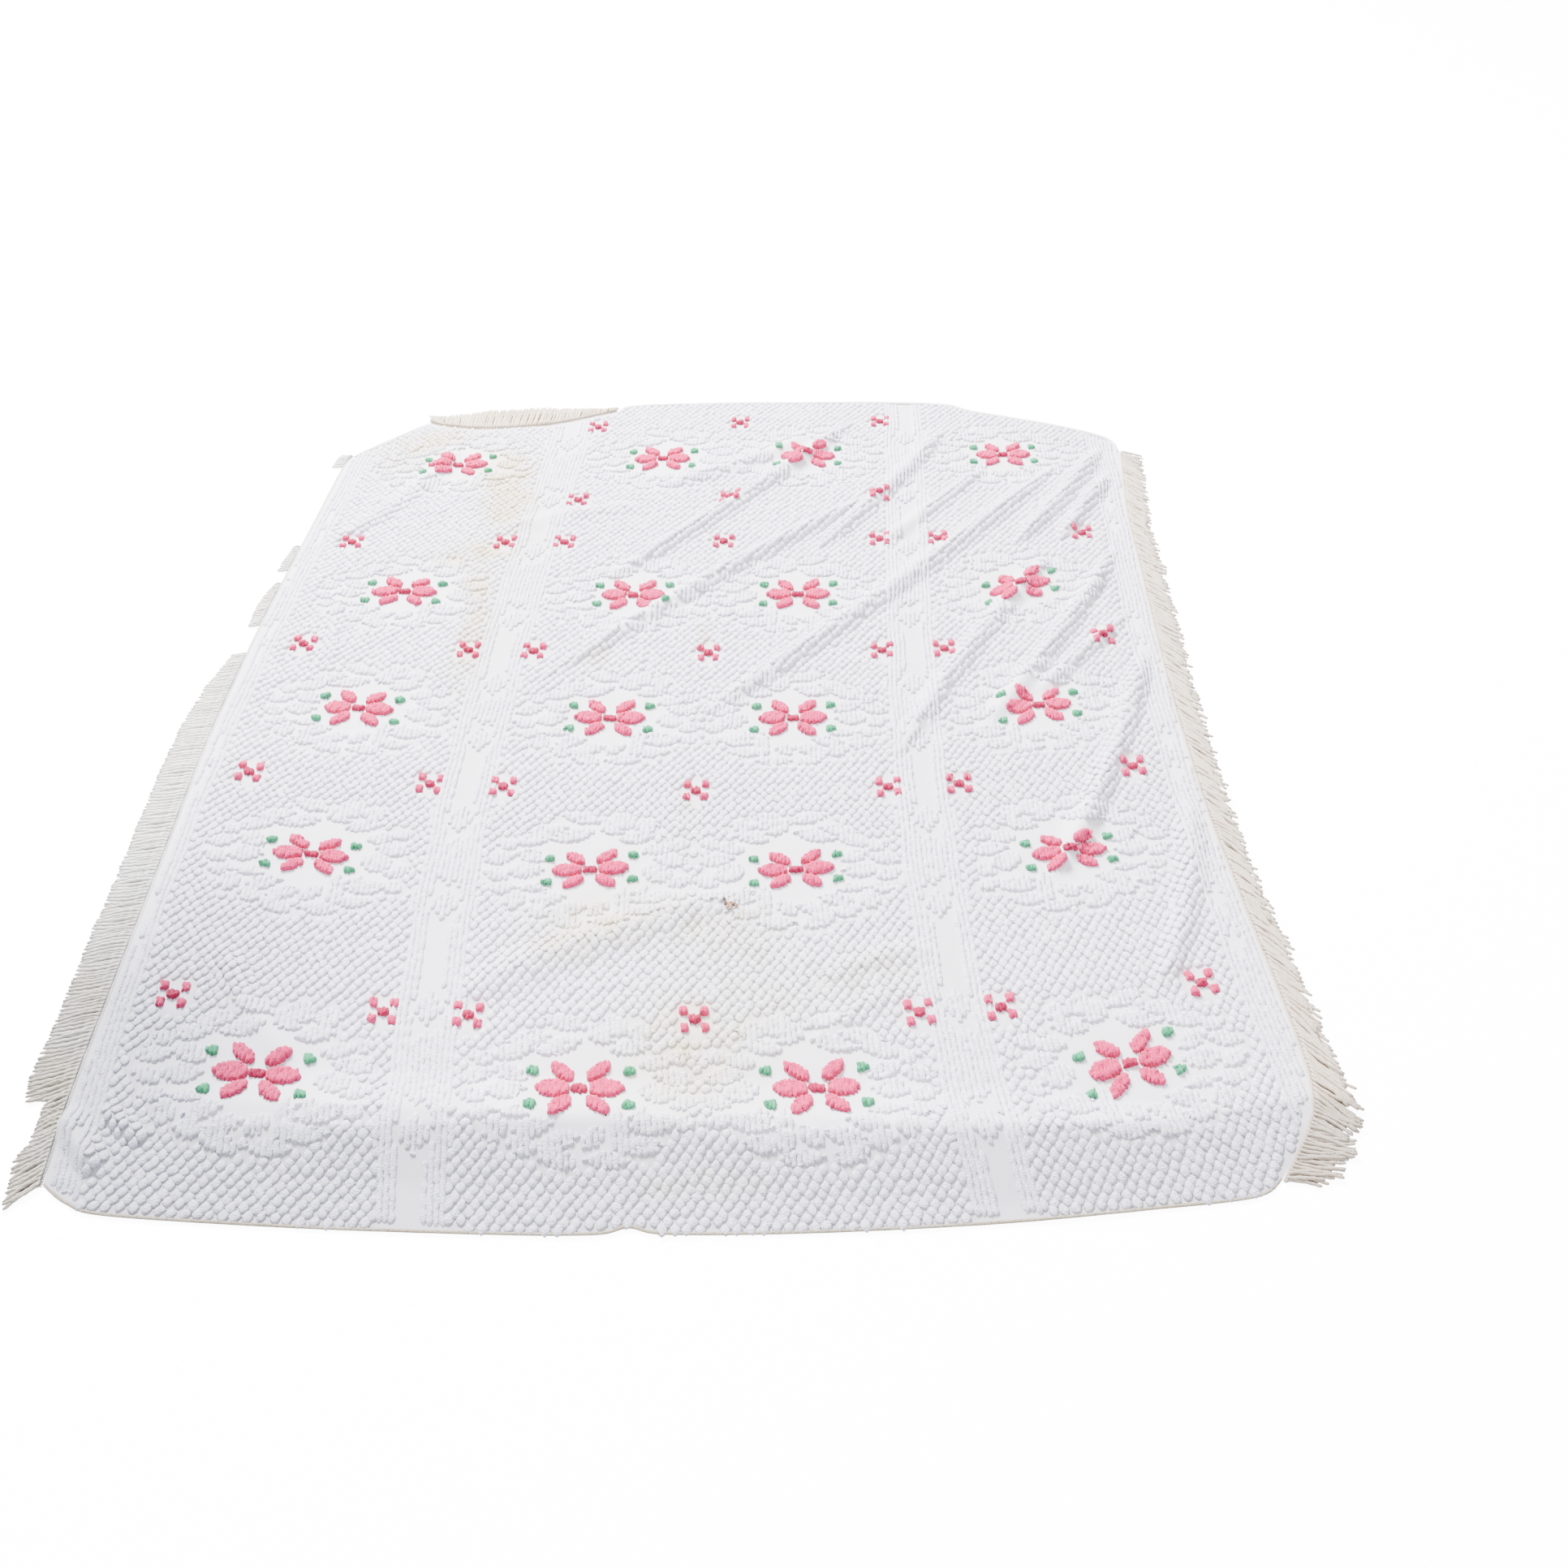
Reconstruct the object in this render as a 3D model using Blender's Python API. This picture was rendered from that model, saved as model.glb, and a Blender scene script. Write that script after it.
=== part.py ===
"""Chenille bedspread, laid out flat and slightly rumpled, fringed on its two long sides and its foot.

Metres, +Z up. The head hem is at -Y, the foot at +Y. The underside lies on z = 0 wherever no fold lifts it.
Every piece is a closed solid: the tufted cloth, and one fringe for each fringed stretch of its edge.
"""

import math

import bmesh
import bpy
from mathutils import Vector
from mathutils.geometry import delaunay_2d_cdt

# ---------------------------------------------------------------- driving dimensions

CLOTH_THICKNESS = 0.003       # sheeting with its dense white tufting
HEM_THICKNESS = 0.0042        # the cloth turned twice and stitched
HEM_WIDTH = 0.016
EDGE_STEP = 0.0525            # spacing of the edge's points, three strands long
FOLD_STEP = 0.085             # spacing of a fold's points
LATTICE_STEP = 0.13           # spacing of the flat cloth's points
LATTICE_CLEARANCE = 0.035     # kept free around every other point

PETAL_RISE = 0.0035           # coloured tufting above the white
DOT_RISE = 0.003

STRANDS_PER_STEP = 3
PARTING = 0.0004              # between the cloth's edge and a fringe's braid
BRAID_WIDTH = 0.007
BRAID_THICKNESS = 0.003
STRAND_WIDTH = 0.0105         # a lock of two or three looped cords
STRAND_TIP_WIDTH = 0.0085
STRAND_HEIGHT = 0.0055

# ---------------------------------------------------------------- the edge of the cloth as it lies
# A row is a point of the outline, anticlockwise from the near left corner.
# trim: what finishes the stretch that starts there.

EDGE = (
    # x,      y,      trim
    (-1.115, -1.243, "hem"),
    (-1.059, -1.278, "hem"),
    (-0.976, -1.299, "hem"),
    (-0.644, -1.320, "hem"),
    (-0.317, -1.332, "hem"),
    (-0.130, -1.333, "hem"),
    (-0.076, -1.321, "hem"),
    (-0.010, -1.333, "hem"),
    (0.247, -1.330, "hem"),
    (0.568, -1.314, "hem"),
    (0.839, -1.289, "hem"),
    (1.006, -1.269, "hem"),
    (1.057, -1.237, "right fringe"),
    (1.094, -1.185, "right fringe"),
    (1.130, -1.132, "right fringe"),
    (1.151, -1.080, "right fringe"),
    (1.157, -0.962, "right fringe"),
    (1.134, -0.622, "right fringe"),
    (1.119, -0.350, "right fringe"),
    (1.121, 0.050, "right fringe"),
    (1.139, 0.469, "right fringe"),
    (1.152, 0.750, "right fringe"),
    (1.188, 1.040, "rolled"),
    (1.160, 1.118, "rolled"),
    (1.017, 1.190, "rolled"),
    (0.775, 1.274, "rolled"),
    (0.653, 1.322, "rolled"),
    (0.268, 1.335, "rolled"),
    (-0.247, 1.329, "rolled"),
    (-0.345, 1.290, "foot fringe"),
    (-0.490, 1.231, "foot fringe"),
    (-0.590, 1.207, "foot fringe"),
    (-0.740, 1.193, "foot fringe"),
    (-0.870, 1.212, "foot fringe"),
    (-0.925, 1.235, "rolled"),
    (-1.051, 1.118, "rolled"),
    (-1.120, 1.052, "left fringe"),
    (-1.134, 0.980, "left fringe"),
    (-1.150, 0.673, "left fringe"),
    (-1.170, 0.250, "left fringe"),
    (-1.172, -0.150, "left fringe"),
    (-1.150, -0.650, "left fringe"),
    (-1.133, -1.050, "left fringe"),
)

# ---------------------------------------------------------------- folds
# A row is one soft ridge, lifted off the floor. It runs from (x0, y0) to (x1, y1), bowed sideways in its
# middle by bow (towards its right-hand side), and fades out at both ends.
# right, left: how far its two slopes reach from the crest.

FOLDS = (
    # x0,    y0,     x1,     y1,    bow,    rise,   right,  left
    (0.41,   1.24,  -0.30,   0.44, -0.020,  0.014,  0.034,  0.040),
    (0.47,   0.84,  -0.42,   0.04,  0.030,  0.013,  0.032,  0.038),
    (0.67,   1.17,   0.27,   0.57, -0.015,  0.013,  0.030,  0.036),
    (0.77,   0.95,   0.45,   0.59,  0.000,  0.010,  0.028,  0.032),
    (1.00,   0.98,  -0.04,  -0.10, -0.020,  0.014,  0.036,  0.042),
    (1.13,   1.06,   0.81,   0.58, -0.012,  0.015,  0.034,  0.036),
    (0.91,   0.54,   0.44,  -0.22,  0.020,  0.013,  0.034,  0.038),
    (1.13,   0.92,   0.94,   0.60,  0.000,  0.012,  0.028,  0.030),
    (1.09,   0.57,   0.65,  -0.13, -0.015,  0.014,  0.032,  0.036),
    (1.06,   0.28,   0.79,  -0.01,  0.000,  0.010,  0.026,  0.030),
    (1.09,   0.17,   0.75,  -0.58, -0.025,  0.014,  0.034,  0.038),
    (1.085, -0.33,   0.92,  -0.85, -0.030,  0.010,  0.032,  0.038),
    (0.08,  -0.62,  -0.46,  -0.86,  0.020,  0.014,  0.060,  0.060),
    (0.49,  -0.75,   0.27,  -0.82,  0.015,  0.006,  0.030,  0.034),
    (0.40,  -0.84,   0.25,  -0.95,  0.000,  0.006,  0.026,  0.030),
    (-0.96, -0.73,  -0.74,  -1.01,  0.010,  0.009,  0.036,  0.036),
    (-1.04, -1.08,   1.05,  -1.15,  0.010,  0.024,  0.120,  0.075),
    (-0.80,  1.13,  -1.08,   0.62, -0.050,  0.014,  0.050,  0.040),
    (-1.00,  0.44,  -0.95,   0.10,  0.000,  0.006,  0.026,  0.028),
    (-0.22,  0.78,  -0.62,   0.67,  0.015,  0.008,  0.045,  0.050),
    (0.28,   1.17,  -0.18,   0.88, -0.030,  0.010,  0.040,  0.045),
)
FOLD_FADE = 0.22              # share of its length over which a fold rises at each end

# ---------------------------------------------------------------- the tufted pattern
# Columns and rows of the pattern, and how far it drifts sideways and bows at the head, middle and foot.

LARGE_COLUMNS = (-0.816, -0.219, 0.219, 0.816)
LARGE_ROWS = (-1.060, -0.543, -0.083, 0.383, 1.035)
CENTRE_COLUMNS = (-0.4375, 0.0, 0.4375)
CENTRE_ROWS = (0.825, 1.226)
SMALL_COLUMNS = (-1.010, -0.600, -0.4375, 0.0, 0.4375, 0.600, 1.010)
SMALL_ROWS = (-0.910, -0.316, 0.151, 0.617)
PATTERN_END = 1.333           # the pattern's half length
DRIFT = (0.042, -0.017, 0.061)
BOW = (0.054, 0.058, -0.064)

# A row is one petal or leaf of a large flower, for x > 0 and y > 0, and both signs where it is off the axis.
PETALS = (
    # x,     y,     half_x, half_y
    (0.044, 0.000, 0.037, 0.017),
    (0.033, 0.040, 0.022, 0.017),
)
LEAF = (0.093, 0.038, 0.015, 0.014)
ROSE_CENTRE = (0.000, 0.000, 0.012, 0.010)
SMALL_DOT = (0.019, 0.023)    # centres of a small flower's four dots
SMALL_DOT_REACH = 1.75        # its outline's tips and notches, against the dots' centres
SMALL_NOTCH_REACH = 0.85


def through_three(values, y):
    """The parabola that has these values at the head, the middle and the foot."""
    s = y / PATTERN_END
    head, middle, foot = values
    return middle + s * (foot - head) / 2 + s * s * ((foot + head) / 2 - middle)


def laid(x, y):
    """Where a point of the pattern lies: the cloth isn't quite square on the floor."""
    return Vector((x + through_three(DRIFT, y), y + through_three(BOW, y) * x * x))


# ---------------------------------------------------------------- curves

def spline(a, b, c, d, t):
    """Catmull-Rom through b and c."""
    bend = 2 * a - 5 * b + 4 * c - d
    twist = 3 * b - a - 3 * c + d
    return 0.5 * (2 * b + (c - a) * t + bend * t * t + twist * t ** 3)


def edge_loop():
    """The outline as evenly stepped points, each with the trim of the stretch that leaves it."""
    rows = [(Vector((x, y)), trim) for x, y, trim in EDGE]
    loop = []
    for i, (start, trim) in enumerate(rows):
        before = rows[i - 1]
        after, beyond = rows[(i + 1) % len(rows)], rows[(i + 2) % len(rows)]
        a = before[0] if before[1] == trim else start
        d = beyond[0] if after[1] == trim else after[0]
        steps = max(1, round((after[0] - start).length / EDGE_STEP))
        loop += [(spline(a, start, after[0], d, k / steps), trim) for k in range(steps)]
    return loop


def crest_line(fold):
    x0, y0, x1, y1, bow = fold[:5]
    start, end = Vector((x0, y0)), Vector((x1, y1))
    along = end - start
    sideways = Vector((along.y, -along.x)).normalized() * bow
    steps = max(4, round(along.length / FOLD_STEP))
    shares = [k / steps for k in range(steps + 1)]
    return [start + along * t + sideways * 4 * t * (1 - t) for t in shares]


def fade(t):
    """0 at a fold's ends and 1 along its middle."""
    return math.sin(math.pi / 2 * min(1.0, t / FOLD_FADE, (1 - t) / FOLD_FADE))


def fold_height(point):
    """How high the folds lift the cloth's underside at a point."""
    height = 0.0
    for fold, crest in FOLD_LINES:
        rise, right, left = fold[5:]
        steps = len(crest) - 1
        for k in range(steps):
            a, along = crest[k], crest[k + 1] - crest[k]
            s = min(1.0, max(0.0, (point - a).dot(along) / along.length_squared))
            offset = point - (a + along * s)
            reach = right if along.cross(offset) < 0 else left
            share = fade((k + s) / steps)
            if share > 0.01:
                height = max(height, rise * share * (1 - offset.length / (reach * share)))
    return height


FOLD_LINES = [(fold, crest_line(fold)) for fold in FOLDS]


# ---------------------------------------------------------------- points and lines of the cloth's surfaces

class Plan:
    """Points in plan, how far each stands above the cloth's underside, and the lines that join them."""

    def __init__(self):
        self.points, self.above, self.lines = [], [], []

    def add(self, points, above=CLOTH_THICKNESS, joined=False, closed=False):
        first = len(self.points)
        self.points += points
        self.above += [above] * len(points)
        if joined:
            last = len(self.points) - 1
            self.lines += [(k, k + 1) for k in range(first, last)]
            self.lines += [(last, first)] if closed else []

    def is_clear(self, point, distance):
        return all((point - other).length > distance for other in self.points)


def add_folds(plan):
    for fold, crest in FOLD_LINES:
        right, left = fold[6:]
        steps = len(crest) - 1
        plan.add(crest, joined=True)
        first = len(plan.points) - len(crest)
        for reach in (right, -left):
            foot = []
            for k in range(1, steps):
                along = (crest[k + 1] - crest[k - 1]).normalized()
                foot.append(crest[k] + Vector((along.y, -along.x)) * reach * fade(k / steps))
            plan.add(foot, joined=True)
            plan.lines += [(first, len(plan.points) - len(foot)), (len(plan.points) - 1, first + steps)]


def ring(centre, half_x, half_y, count, turn=0.0):
    angles = [2 * math.pi * k / count + turn for k in range(count)]
    return [laid(centre[0] + half_x * math.cos(a), centre[1] + half_y * math.sin(a)) for a in angles]


def add_large_flower(plan, cx, cy):
    for x, y, half_x, half_y in (*PETALS, LEAF):
        for side in (-1, 1):
            for end in ((1,) if y == 0 else (-1, 1)):
                centre = (cx + side * x, cy + end * y)
                plan.add(ring(centre, half_x, half_y, 4 if x == LEAF[0] else 6))
                plan.add([laid(*centre)], CLOTH_THICKNESS + PETAL_RISE)
    plan.add([laid(cx, cy)], CLOTH_THICKNESS + PETAL_RISE)


def add_small_flower(plan, cx, cy):
    dx, dy = SMALL_DOT
    plan.add([laid(cx, cy)], CLOTH_THICKNESS + DOT_RISE)
    for side in (-1, 1):
        for end in (-1, 1):
            plan.add([laid(cx + side * dx, cy + end * dy)], CLOTH_THICKNESS + DOT_RISE)
            plan.add([laid(cx + side * dx * SMALL_DOT_REACH, cy + end * dy * SMALL_DOT_REACH)])
    for side in (-1, 1):
        plan.add([laid(cx + side * dx * SMALL_NOTCH_REACH, cy), laid(cx, cy + side * dy * SMALL_NOTCH_REACH)])


def is_inside(point, outline, margin):
    """Within the outline, and further than margin from it."""
    crossings = 0
    for a, b in zip(outline, outline[1:] + outline[:1]):
        if (a.y > point.y) != (b.y > point.y) and point.x < a.x + (point.y - a.y) / (b.y - a.y) * (b.x - a.x):
            crossings += 1
        along = b - a
        s = min(1.0, max(0.0, (point - a).dot(along) / along.length_squared))
        if (point - a - along * s).length < margin:
            return False
    return crossings % 2 == 1


def flowers():
    """Every flower's kind and its place in the pattern."""
    yield from (("large", x, y) for y in LARGE_ROWS for x in LARGE_COLUMNS)
    yield from (("small", x, y) for y in CENTRE_ROWS for x in CENTRE_COLUMNS)
    yield from (("small", x, y) for y in SMALL_ROWS for x in SMALL_COLUMNS)


def cloth_plans(loop):
    """The plan of the underside, and that of the top, which also has the flowers and the hem's inner line."""
    outline = [point for point, _ in loop]
    under, top = Plan(), Plan()
    for plan in (under, top):
        plan.add(outline, joined=True, closed=True)
        add_folds(plan)
    for kind, x, y in flowers():
        (add_large_flower if kind == "large" else add_small_flower)(top, x, y)
    hem = [point + Vector((0, HEM_WIDTH)) for point, trim in loop if trim == "hem"][1:]
    top.add(hem)
    columns = round(2.3 / LATTICE_STEP)
    rows = round(2.66 / LATTICE_STEP)
    for i in range(-columns, columns + 1):
        for j in range(-rows, rows + 1):
            point = Vector(((i + 0.5 * (j % 2)) * LATTICE_STEP, j * LATTICE_STEP))
            if top.is_clear(point, LATTICE_CLEARANCE) and is_inside(point, outline, LATTICE_CLEARANCE):
                for plan in (under, top):
                    plan.add([point])
    for k, (_, trim) in enumerate(loop):
        if trim == "hem":
            top.above[k] = HEM_THICKNESS
    return under, top


def add_surface(bm, plan, edge_count, lifted):
    """Triangulates a plan into the bmesh and gives the vertices of its outline in order."""
    face = [list(range(edge_count))]
    points, _, faces, origins, _, _ = delaunay_2d_cdt(plan.points, plan.lines, face, 1, 1e-6)
    verts, edge = [], [None] * edge_count
    for point, origin in zip(points, origins):
        above = max((plan.above[k] for k in origin), default=CLOTH_THICKNESS) if lifted else 0.0
        verts.append(bm.verts.new((point.x, point.y, fold_height(Vector(point)) + above)))
        for k in origin:
            if k < edge_count:
                edge[k] = verts[-1]
    for corners in faces:
        corners = corners if lifted else corners[::-1]
        bm.faces.new([verts[k] for k in corners])
    return edge


def make_cloth(loop):
    under, top = cloth_plans(loop)
    bm = bmesh.new()
    low = add_surface(bm, under, len(loop), False)
    high = add_surface(bm, top, len(loop), True)
    for k in range(len(loop)):
        nxt = (k + 1) % len(loop)
        bm.faces.new((low[k], low[nxt], high[nxt], high[k]))
    return finish("tufted_cloth", bm, COTTON)


# ---------------------------------------------------------------- fringes
# A row of a fringe's table is a place along it, y for a side and x for the foot, with the length of the
# strands that show there and their lean: degrees anticlockwise from square to the spread's own side.

FRINGE_OUTWARD = {"right fringe": 0, "foot fringe": 90, "left fringe": 180}
FRINGE_ROWS = {
    "right fringe": (
        # y,     length, lean
        (-1.240, 0.105, 3),
        (-1.185, 0.096, -4),
        (-1.130, 0.094, -19),
        (-1.070, 0.096, -29),
        (-1.000, 0.078, -34),
        (-0.860, 0.066, -35),
        (-0.680, 0.066, -34),
        (-0.500, 0.054, -31),
        (-0.200, 0.062, -33),
        (0.100, 0.066, -34),
        (0.400, 0.062, -31),
        (0.700, 0.058, -35),
        (0.900, 0.062, -32),
        (1.050, 0.050, -20),
    ),
    "foot fringe": (
        # x,     length, lean
        (-0.935, 0.030, 12),
        (-0.860, 0.060, 6),
        (-0.740, 0.104, 0),
        (-0.590, 0.104, -4),
        (-0.490, 0.086, -5),
        (-0.340, 0.036, -8),
    ),
    "left fringe": (
        # y,     length, lean
        (1.060, 0.030, 0),
        (0.995, 0.034, 6),
        (0.994, 0.000, 6),
        (0.601, 0.000, 10),
        (0.600, 0.020, 10),
        (0.500, 0.030, 14),
        (0.499, 0.000, 14),
        (0.441, 0.000, 14),
        (0.440, 0.018, 14),
        (0.360, 0.034, 14),
        (0.270, 0.030, 14),
        (0.269, 0.000, 14),
        (0.161, 0.000, 14),
        (0.160, 0.028, 14),
        (0.040, 0.046, 12),
        (-0.150, 0.056, 12),
        (-0.350, 0.074, 12),
        (-0.620, 0.078, 12),
        (-0.850, 0.086, 15),
        (-1.000, 0.084, 25),
        (-1.048, 0.080, 28),
        (-1.062, 0.042, 28),
        (-1.140, 0.046, 30),
        (-1.170, 0.070, 34),
        (-1.250, 0.064, 42),
    ),
}
STRAY = 1.6                   # how far single strands stray, in degrees
FILL = 0.62                   # the most of the room between its neighbours that a strand takes


def at_place(rows, place):
    """A table's values at a place, straight between its rows."""
    rows = sorted(rows)
    place = min(max(place, rows[0][0]), rows[-1][0])
    for low, high in zip(rows, rows[1:]):
        if low[0] <= place <= high[0]:
            t = (place - low[0]) / (high[0] - low[0])
            return [a + (b - a) * t for a, b in zip(low[1:], high[1:])]


def moved_out(points, distance):
    """A line of points moved to its right, square to its stretches, so that the parting stays even."""
    moved = []
    for k, point in enumerate(points):
        near = [(points[j + 1] - points[j]).normalized() for j in (k - 1, k) if 0 <= j < len(points) - 1]
        normals = [Vector((along.y, -along.x)) for along in near]
        middle = sum(normals, Vector((0, 0))).normalized()
        moved.append(point + middle * (distance / middle.dot(normals[0])))
    return moved


def subdivided(points, pieces):
    line = [a.lerp(b, k / pieces) for a, b in zip(points, points[1:]) for k in range(pieces)]
    return line + [points[-1]]


def towards(degrees):
    return Vector((math.cos(math.radians(degrees)), math.sin(math.radians(degrees))))


def strand_axis(k, root, outward, place, trim):
    """Root, knee and tip of the strand that leaves this root, or None where none shows."""
    length, lean = at_place(FRINGE_ROWS[trim], place)
    if length < BRAID_WIDTH:
        return None
    stray = STRAY * math.sin(2.4 * k + 0.7 * math.sin(0.9 * k))
    length *= 1 + 0.05 * math.sin(1.7 * k + 1.0)
    heading = towards(FRINGE_OUTWARD[trim] + lean + stray)
    knee = root + (heading + outward).normalized() * length * 0.2
    return root, knee, root + heading * length


def distance_to_line(point, line):
    """Distance in plan from a point to a line of points."""
    best = 1.0
    for a, b in zip(line, line[1:]):
        s = min(1.0, max(0.0, (point - a).dot(b - a) / (b - a).length_squared))
        best = min(best, (point - a.lerp(b, s)).length)
    return best


def grow_strand(bm, root, axis, neighbours):
    """Draws a root triangle of the braid's outer wall out into a three-sided strand that rests level."""
    face = root
    for start, end, width in ((axis[0], axis[1], STRAND_WIDTH), (axis[1], axis[2], STRAND_TIP_WIDTH)):
        room = min([distance_to_line(end, line) for line in neighbours if line], default=1.0)
        ahead = (end - start).normalized()
        side = Vector((-ahead.y, ahead.x)) * min(width, room * FILL) / 2
        face = bmesh.ops.extrude_discrete_faces(bm, faces=[face])["faces"][0]
        order = sorted(face.verts, key=lambda v: (v.co.z > BRAID_THICKNESS / 2, v.co.xy.dot(side)))
        first, second, top = order
        first.co = (*(end - side), 0)
        second.co = (*(end + side), 0)
        top.co = (*end, STRAND_HEIGHT)


def make_braid(bm, inner, outer, ridge):
    """The strip along the cloth's edge. Its outer wall has a root triangle for each strand."""
    inner_low, outer_low = [[bm.verts.new((*p, 0)) for p in line] for line in (inner, outer)]
    inner_high, outer_high = [[bm.verts.new((*p, BRAID_THICKNESS)) for p in line] for line in (inner, ridge)]
    cells = len(ridge)
    roots = []
    for k in range(cells):
        bm.faces.new((inner_low[k], inner_low[k + 1], outer_low[k + 1], outer_low[k]))
        bm.faces.new((inner_low[k + 1], inner_low[k], inner_high[k], inner_high[k + 1]))
        bm.faces.new((inner_high[k + 1], inner_high[k], outer_high[k]))
        roots.append(bm.faces.new((outer_low[k], outer_low[k + 1], outer_high[k])))
    for k in range(cells - 1):
        bm.faces.new((inner_high[k + 1], outer_high[k], outer_high[k + 1]))
        bm.faces.new((outer_low[k + 1], outer_high[k + 1], outer_high[k]))
    bm.faces.new((inner_low[0], outer_low[0], outer_high[0], inner_high[0]))
    bm.faces.new((outer_low[-1], inner_low[-1], inner_high[-1], outer_high[-1]))
    return roots


def make_fringe(name, trim, loop):
    """A braid along a stretch of the cloth's edge, a parting away, with its strands drawn out of it."""
    count = len(loop)
    stretch = [k for k in range(count) if loop[k][1] == trim]
    edge = [loop[k][0] for k in stretch] + [loop[(stretch[-1] + 1) % count][0]]
    inner = subdivided(moved_out(edge, PARTING), STRANDS_PER_STEP)
    outer = subdivided(moved_out(edge, PARTING + BRAID_WIDTH), STRANDS_PER_STEP)
    ridge = [a.lerp(b, 0.5) for a, b in zip(outer, outer[1:])]
    bm = bmesh.new()
    roots = make_braid(bm, inner, outer, ridge)
    axes = [None]
    for k, root in enumerate(ridge):
        along = (outer[k + 1] - outer[k]).normalized()
        place = root.x if trim == "foot fringe" else root.y
        axes.append(strand_axis(k, root, Vector((along.y, -along.x)), place, trim))
    axes.append(None)
    for k, root in enumerate(roots):
        if axes[k + 1]:
            grow_strand(bm, root, axes[k + 1], (axes[k], axes[k + 2]))
    return finish(name, bm, CREAM), sum(axis is not None for axis in axes)


# ---------------------------------------------------------------- objects

def remove_everything():
    for thing in list(bpy.data.objects):
        bpy.data.objects.remove(thing, do_unlink=True)


def make_material(name, colour, roughness):
    material = bpy.data.materials.new(name)
    material.use_nodes = True
    shader = material.node_tree.nodes["Principled BSDF"]
    shader.inputs["Base Color"].default_value = (*colour, 1)
    shader.inputs["Roughness"].default_value = roughness
    shader.inputs["Metallic"].default_value = 0.0
    return material


def finish(name, bm, material):
    bmesh.ops.triangulate(bm, faces=bm.faces[:])
    bmesh.ops.recalc_face_normals(bm, faces=bm.faces[:])
    mesh = bpy.data.meshes.new(name)
    bm.to_mesh(mesh)
    bm.free()
    mesh.materials.append(material)
    piece = bpy.data.objects.new(name, mesh)
    SPREAD.objects.link(piece)
    return piece


def centre_in_plan(pieces):
    """Moves the whole spread so that its box is centred on the origin."""
    for axis in (0, 1):
        places = [v.co[axis] for piece in pieces for v in piece.data.vertices]
        middle = (min(places) + max(places)) / 2
        for piece in pieces:
            for v in piece.data.vertices:
                v.co[axis] -= middle


remove_everything()
SPREAD = bpy.data.collections.new("chenille_bedspread")
bpy.context.scene.collection.children.link(SPREAD)
COTTON = make_material("white_cotton", (0.86, 0.86, 0.88), 0.95)
CREAM = make_material("cream_cotton", (0.74, 0.69, 0.58), 0.9)

EDGE_LOOP = edge_loop()
PIECES = [make_cloth(EDGE_LOOP)]
STRAND_TOTAL = 0
for side in ("left", "right", "foot"):
    fringe, strand_count = make_fringe(f"fringe_{side}", f"{side} fringe", EDGE_LOOP)
    PIECES.append(fringe)
    STRAND_TOTAL += strand_count
centre_in_plan(PIECES)
print("strands in all:", STRAND_TOTAL)
for made in PIECES:
    print(made.name, len(made.data.polygons), "triangles")
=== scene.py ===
# %% [markdown]
# # A tufted chenille bedspread, laid out on the ground
# The real thing is one wide piece of cotton sheeting. Rows of needles have punched soft yarn through it,
# so that thousands of small tufts stand on its face: round ones in the ground, fat lines of them in
# the feathers and bands, and coloured ones in the flowers. Three of its sides carry a bullion fringe.
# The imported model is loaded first. It gives the size and place that everything here has to keep.

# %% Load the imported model
import math
import bpy
import numpy as np
from mathutils import Matrix, Vector
from mathutils.kdtree import KDTree


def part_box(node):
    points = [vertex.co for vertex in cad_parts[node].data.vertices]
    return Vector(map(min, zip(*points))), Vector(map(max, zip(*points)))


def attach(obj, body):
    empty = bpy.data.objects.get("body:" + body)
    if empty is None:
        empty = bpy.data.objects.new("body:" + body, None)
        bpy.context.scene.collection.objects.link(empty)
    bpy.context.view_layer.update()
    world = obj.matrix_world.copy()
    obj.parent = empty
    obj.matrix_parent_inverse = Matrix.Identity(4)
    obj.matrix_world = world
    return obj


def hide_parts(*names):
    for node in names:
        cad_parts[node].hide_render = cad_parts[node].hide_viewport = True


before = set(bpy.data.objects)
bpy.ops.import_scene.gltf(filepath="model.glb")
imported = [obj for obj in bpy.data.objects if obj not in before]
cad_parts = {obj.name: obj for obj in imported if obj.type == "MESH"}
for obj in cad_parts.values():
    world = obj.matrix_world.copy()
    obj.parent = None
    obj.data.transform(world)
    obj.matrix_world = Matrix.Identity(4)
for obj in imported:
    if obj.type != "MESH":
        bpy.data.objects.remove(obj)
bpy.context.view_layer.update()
CHANCE = np.random.default_rng(7)

# %% [markdown]
# ## The edge of the cloth as it lies
# A laid spread is never a true rectangle. Its edge is kept as a short table of places, trim by trim and from
# the near left corner round, and a Catmull-Rom curve makes a smooth line through them.

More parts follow.
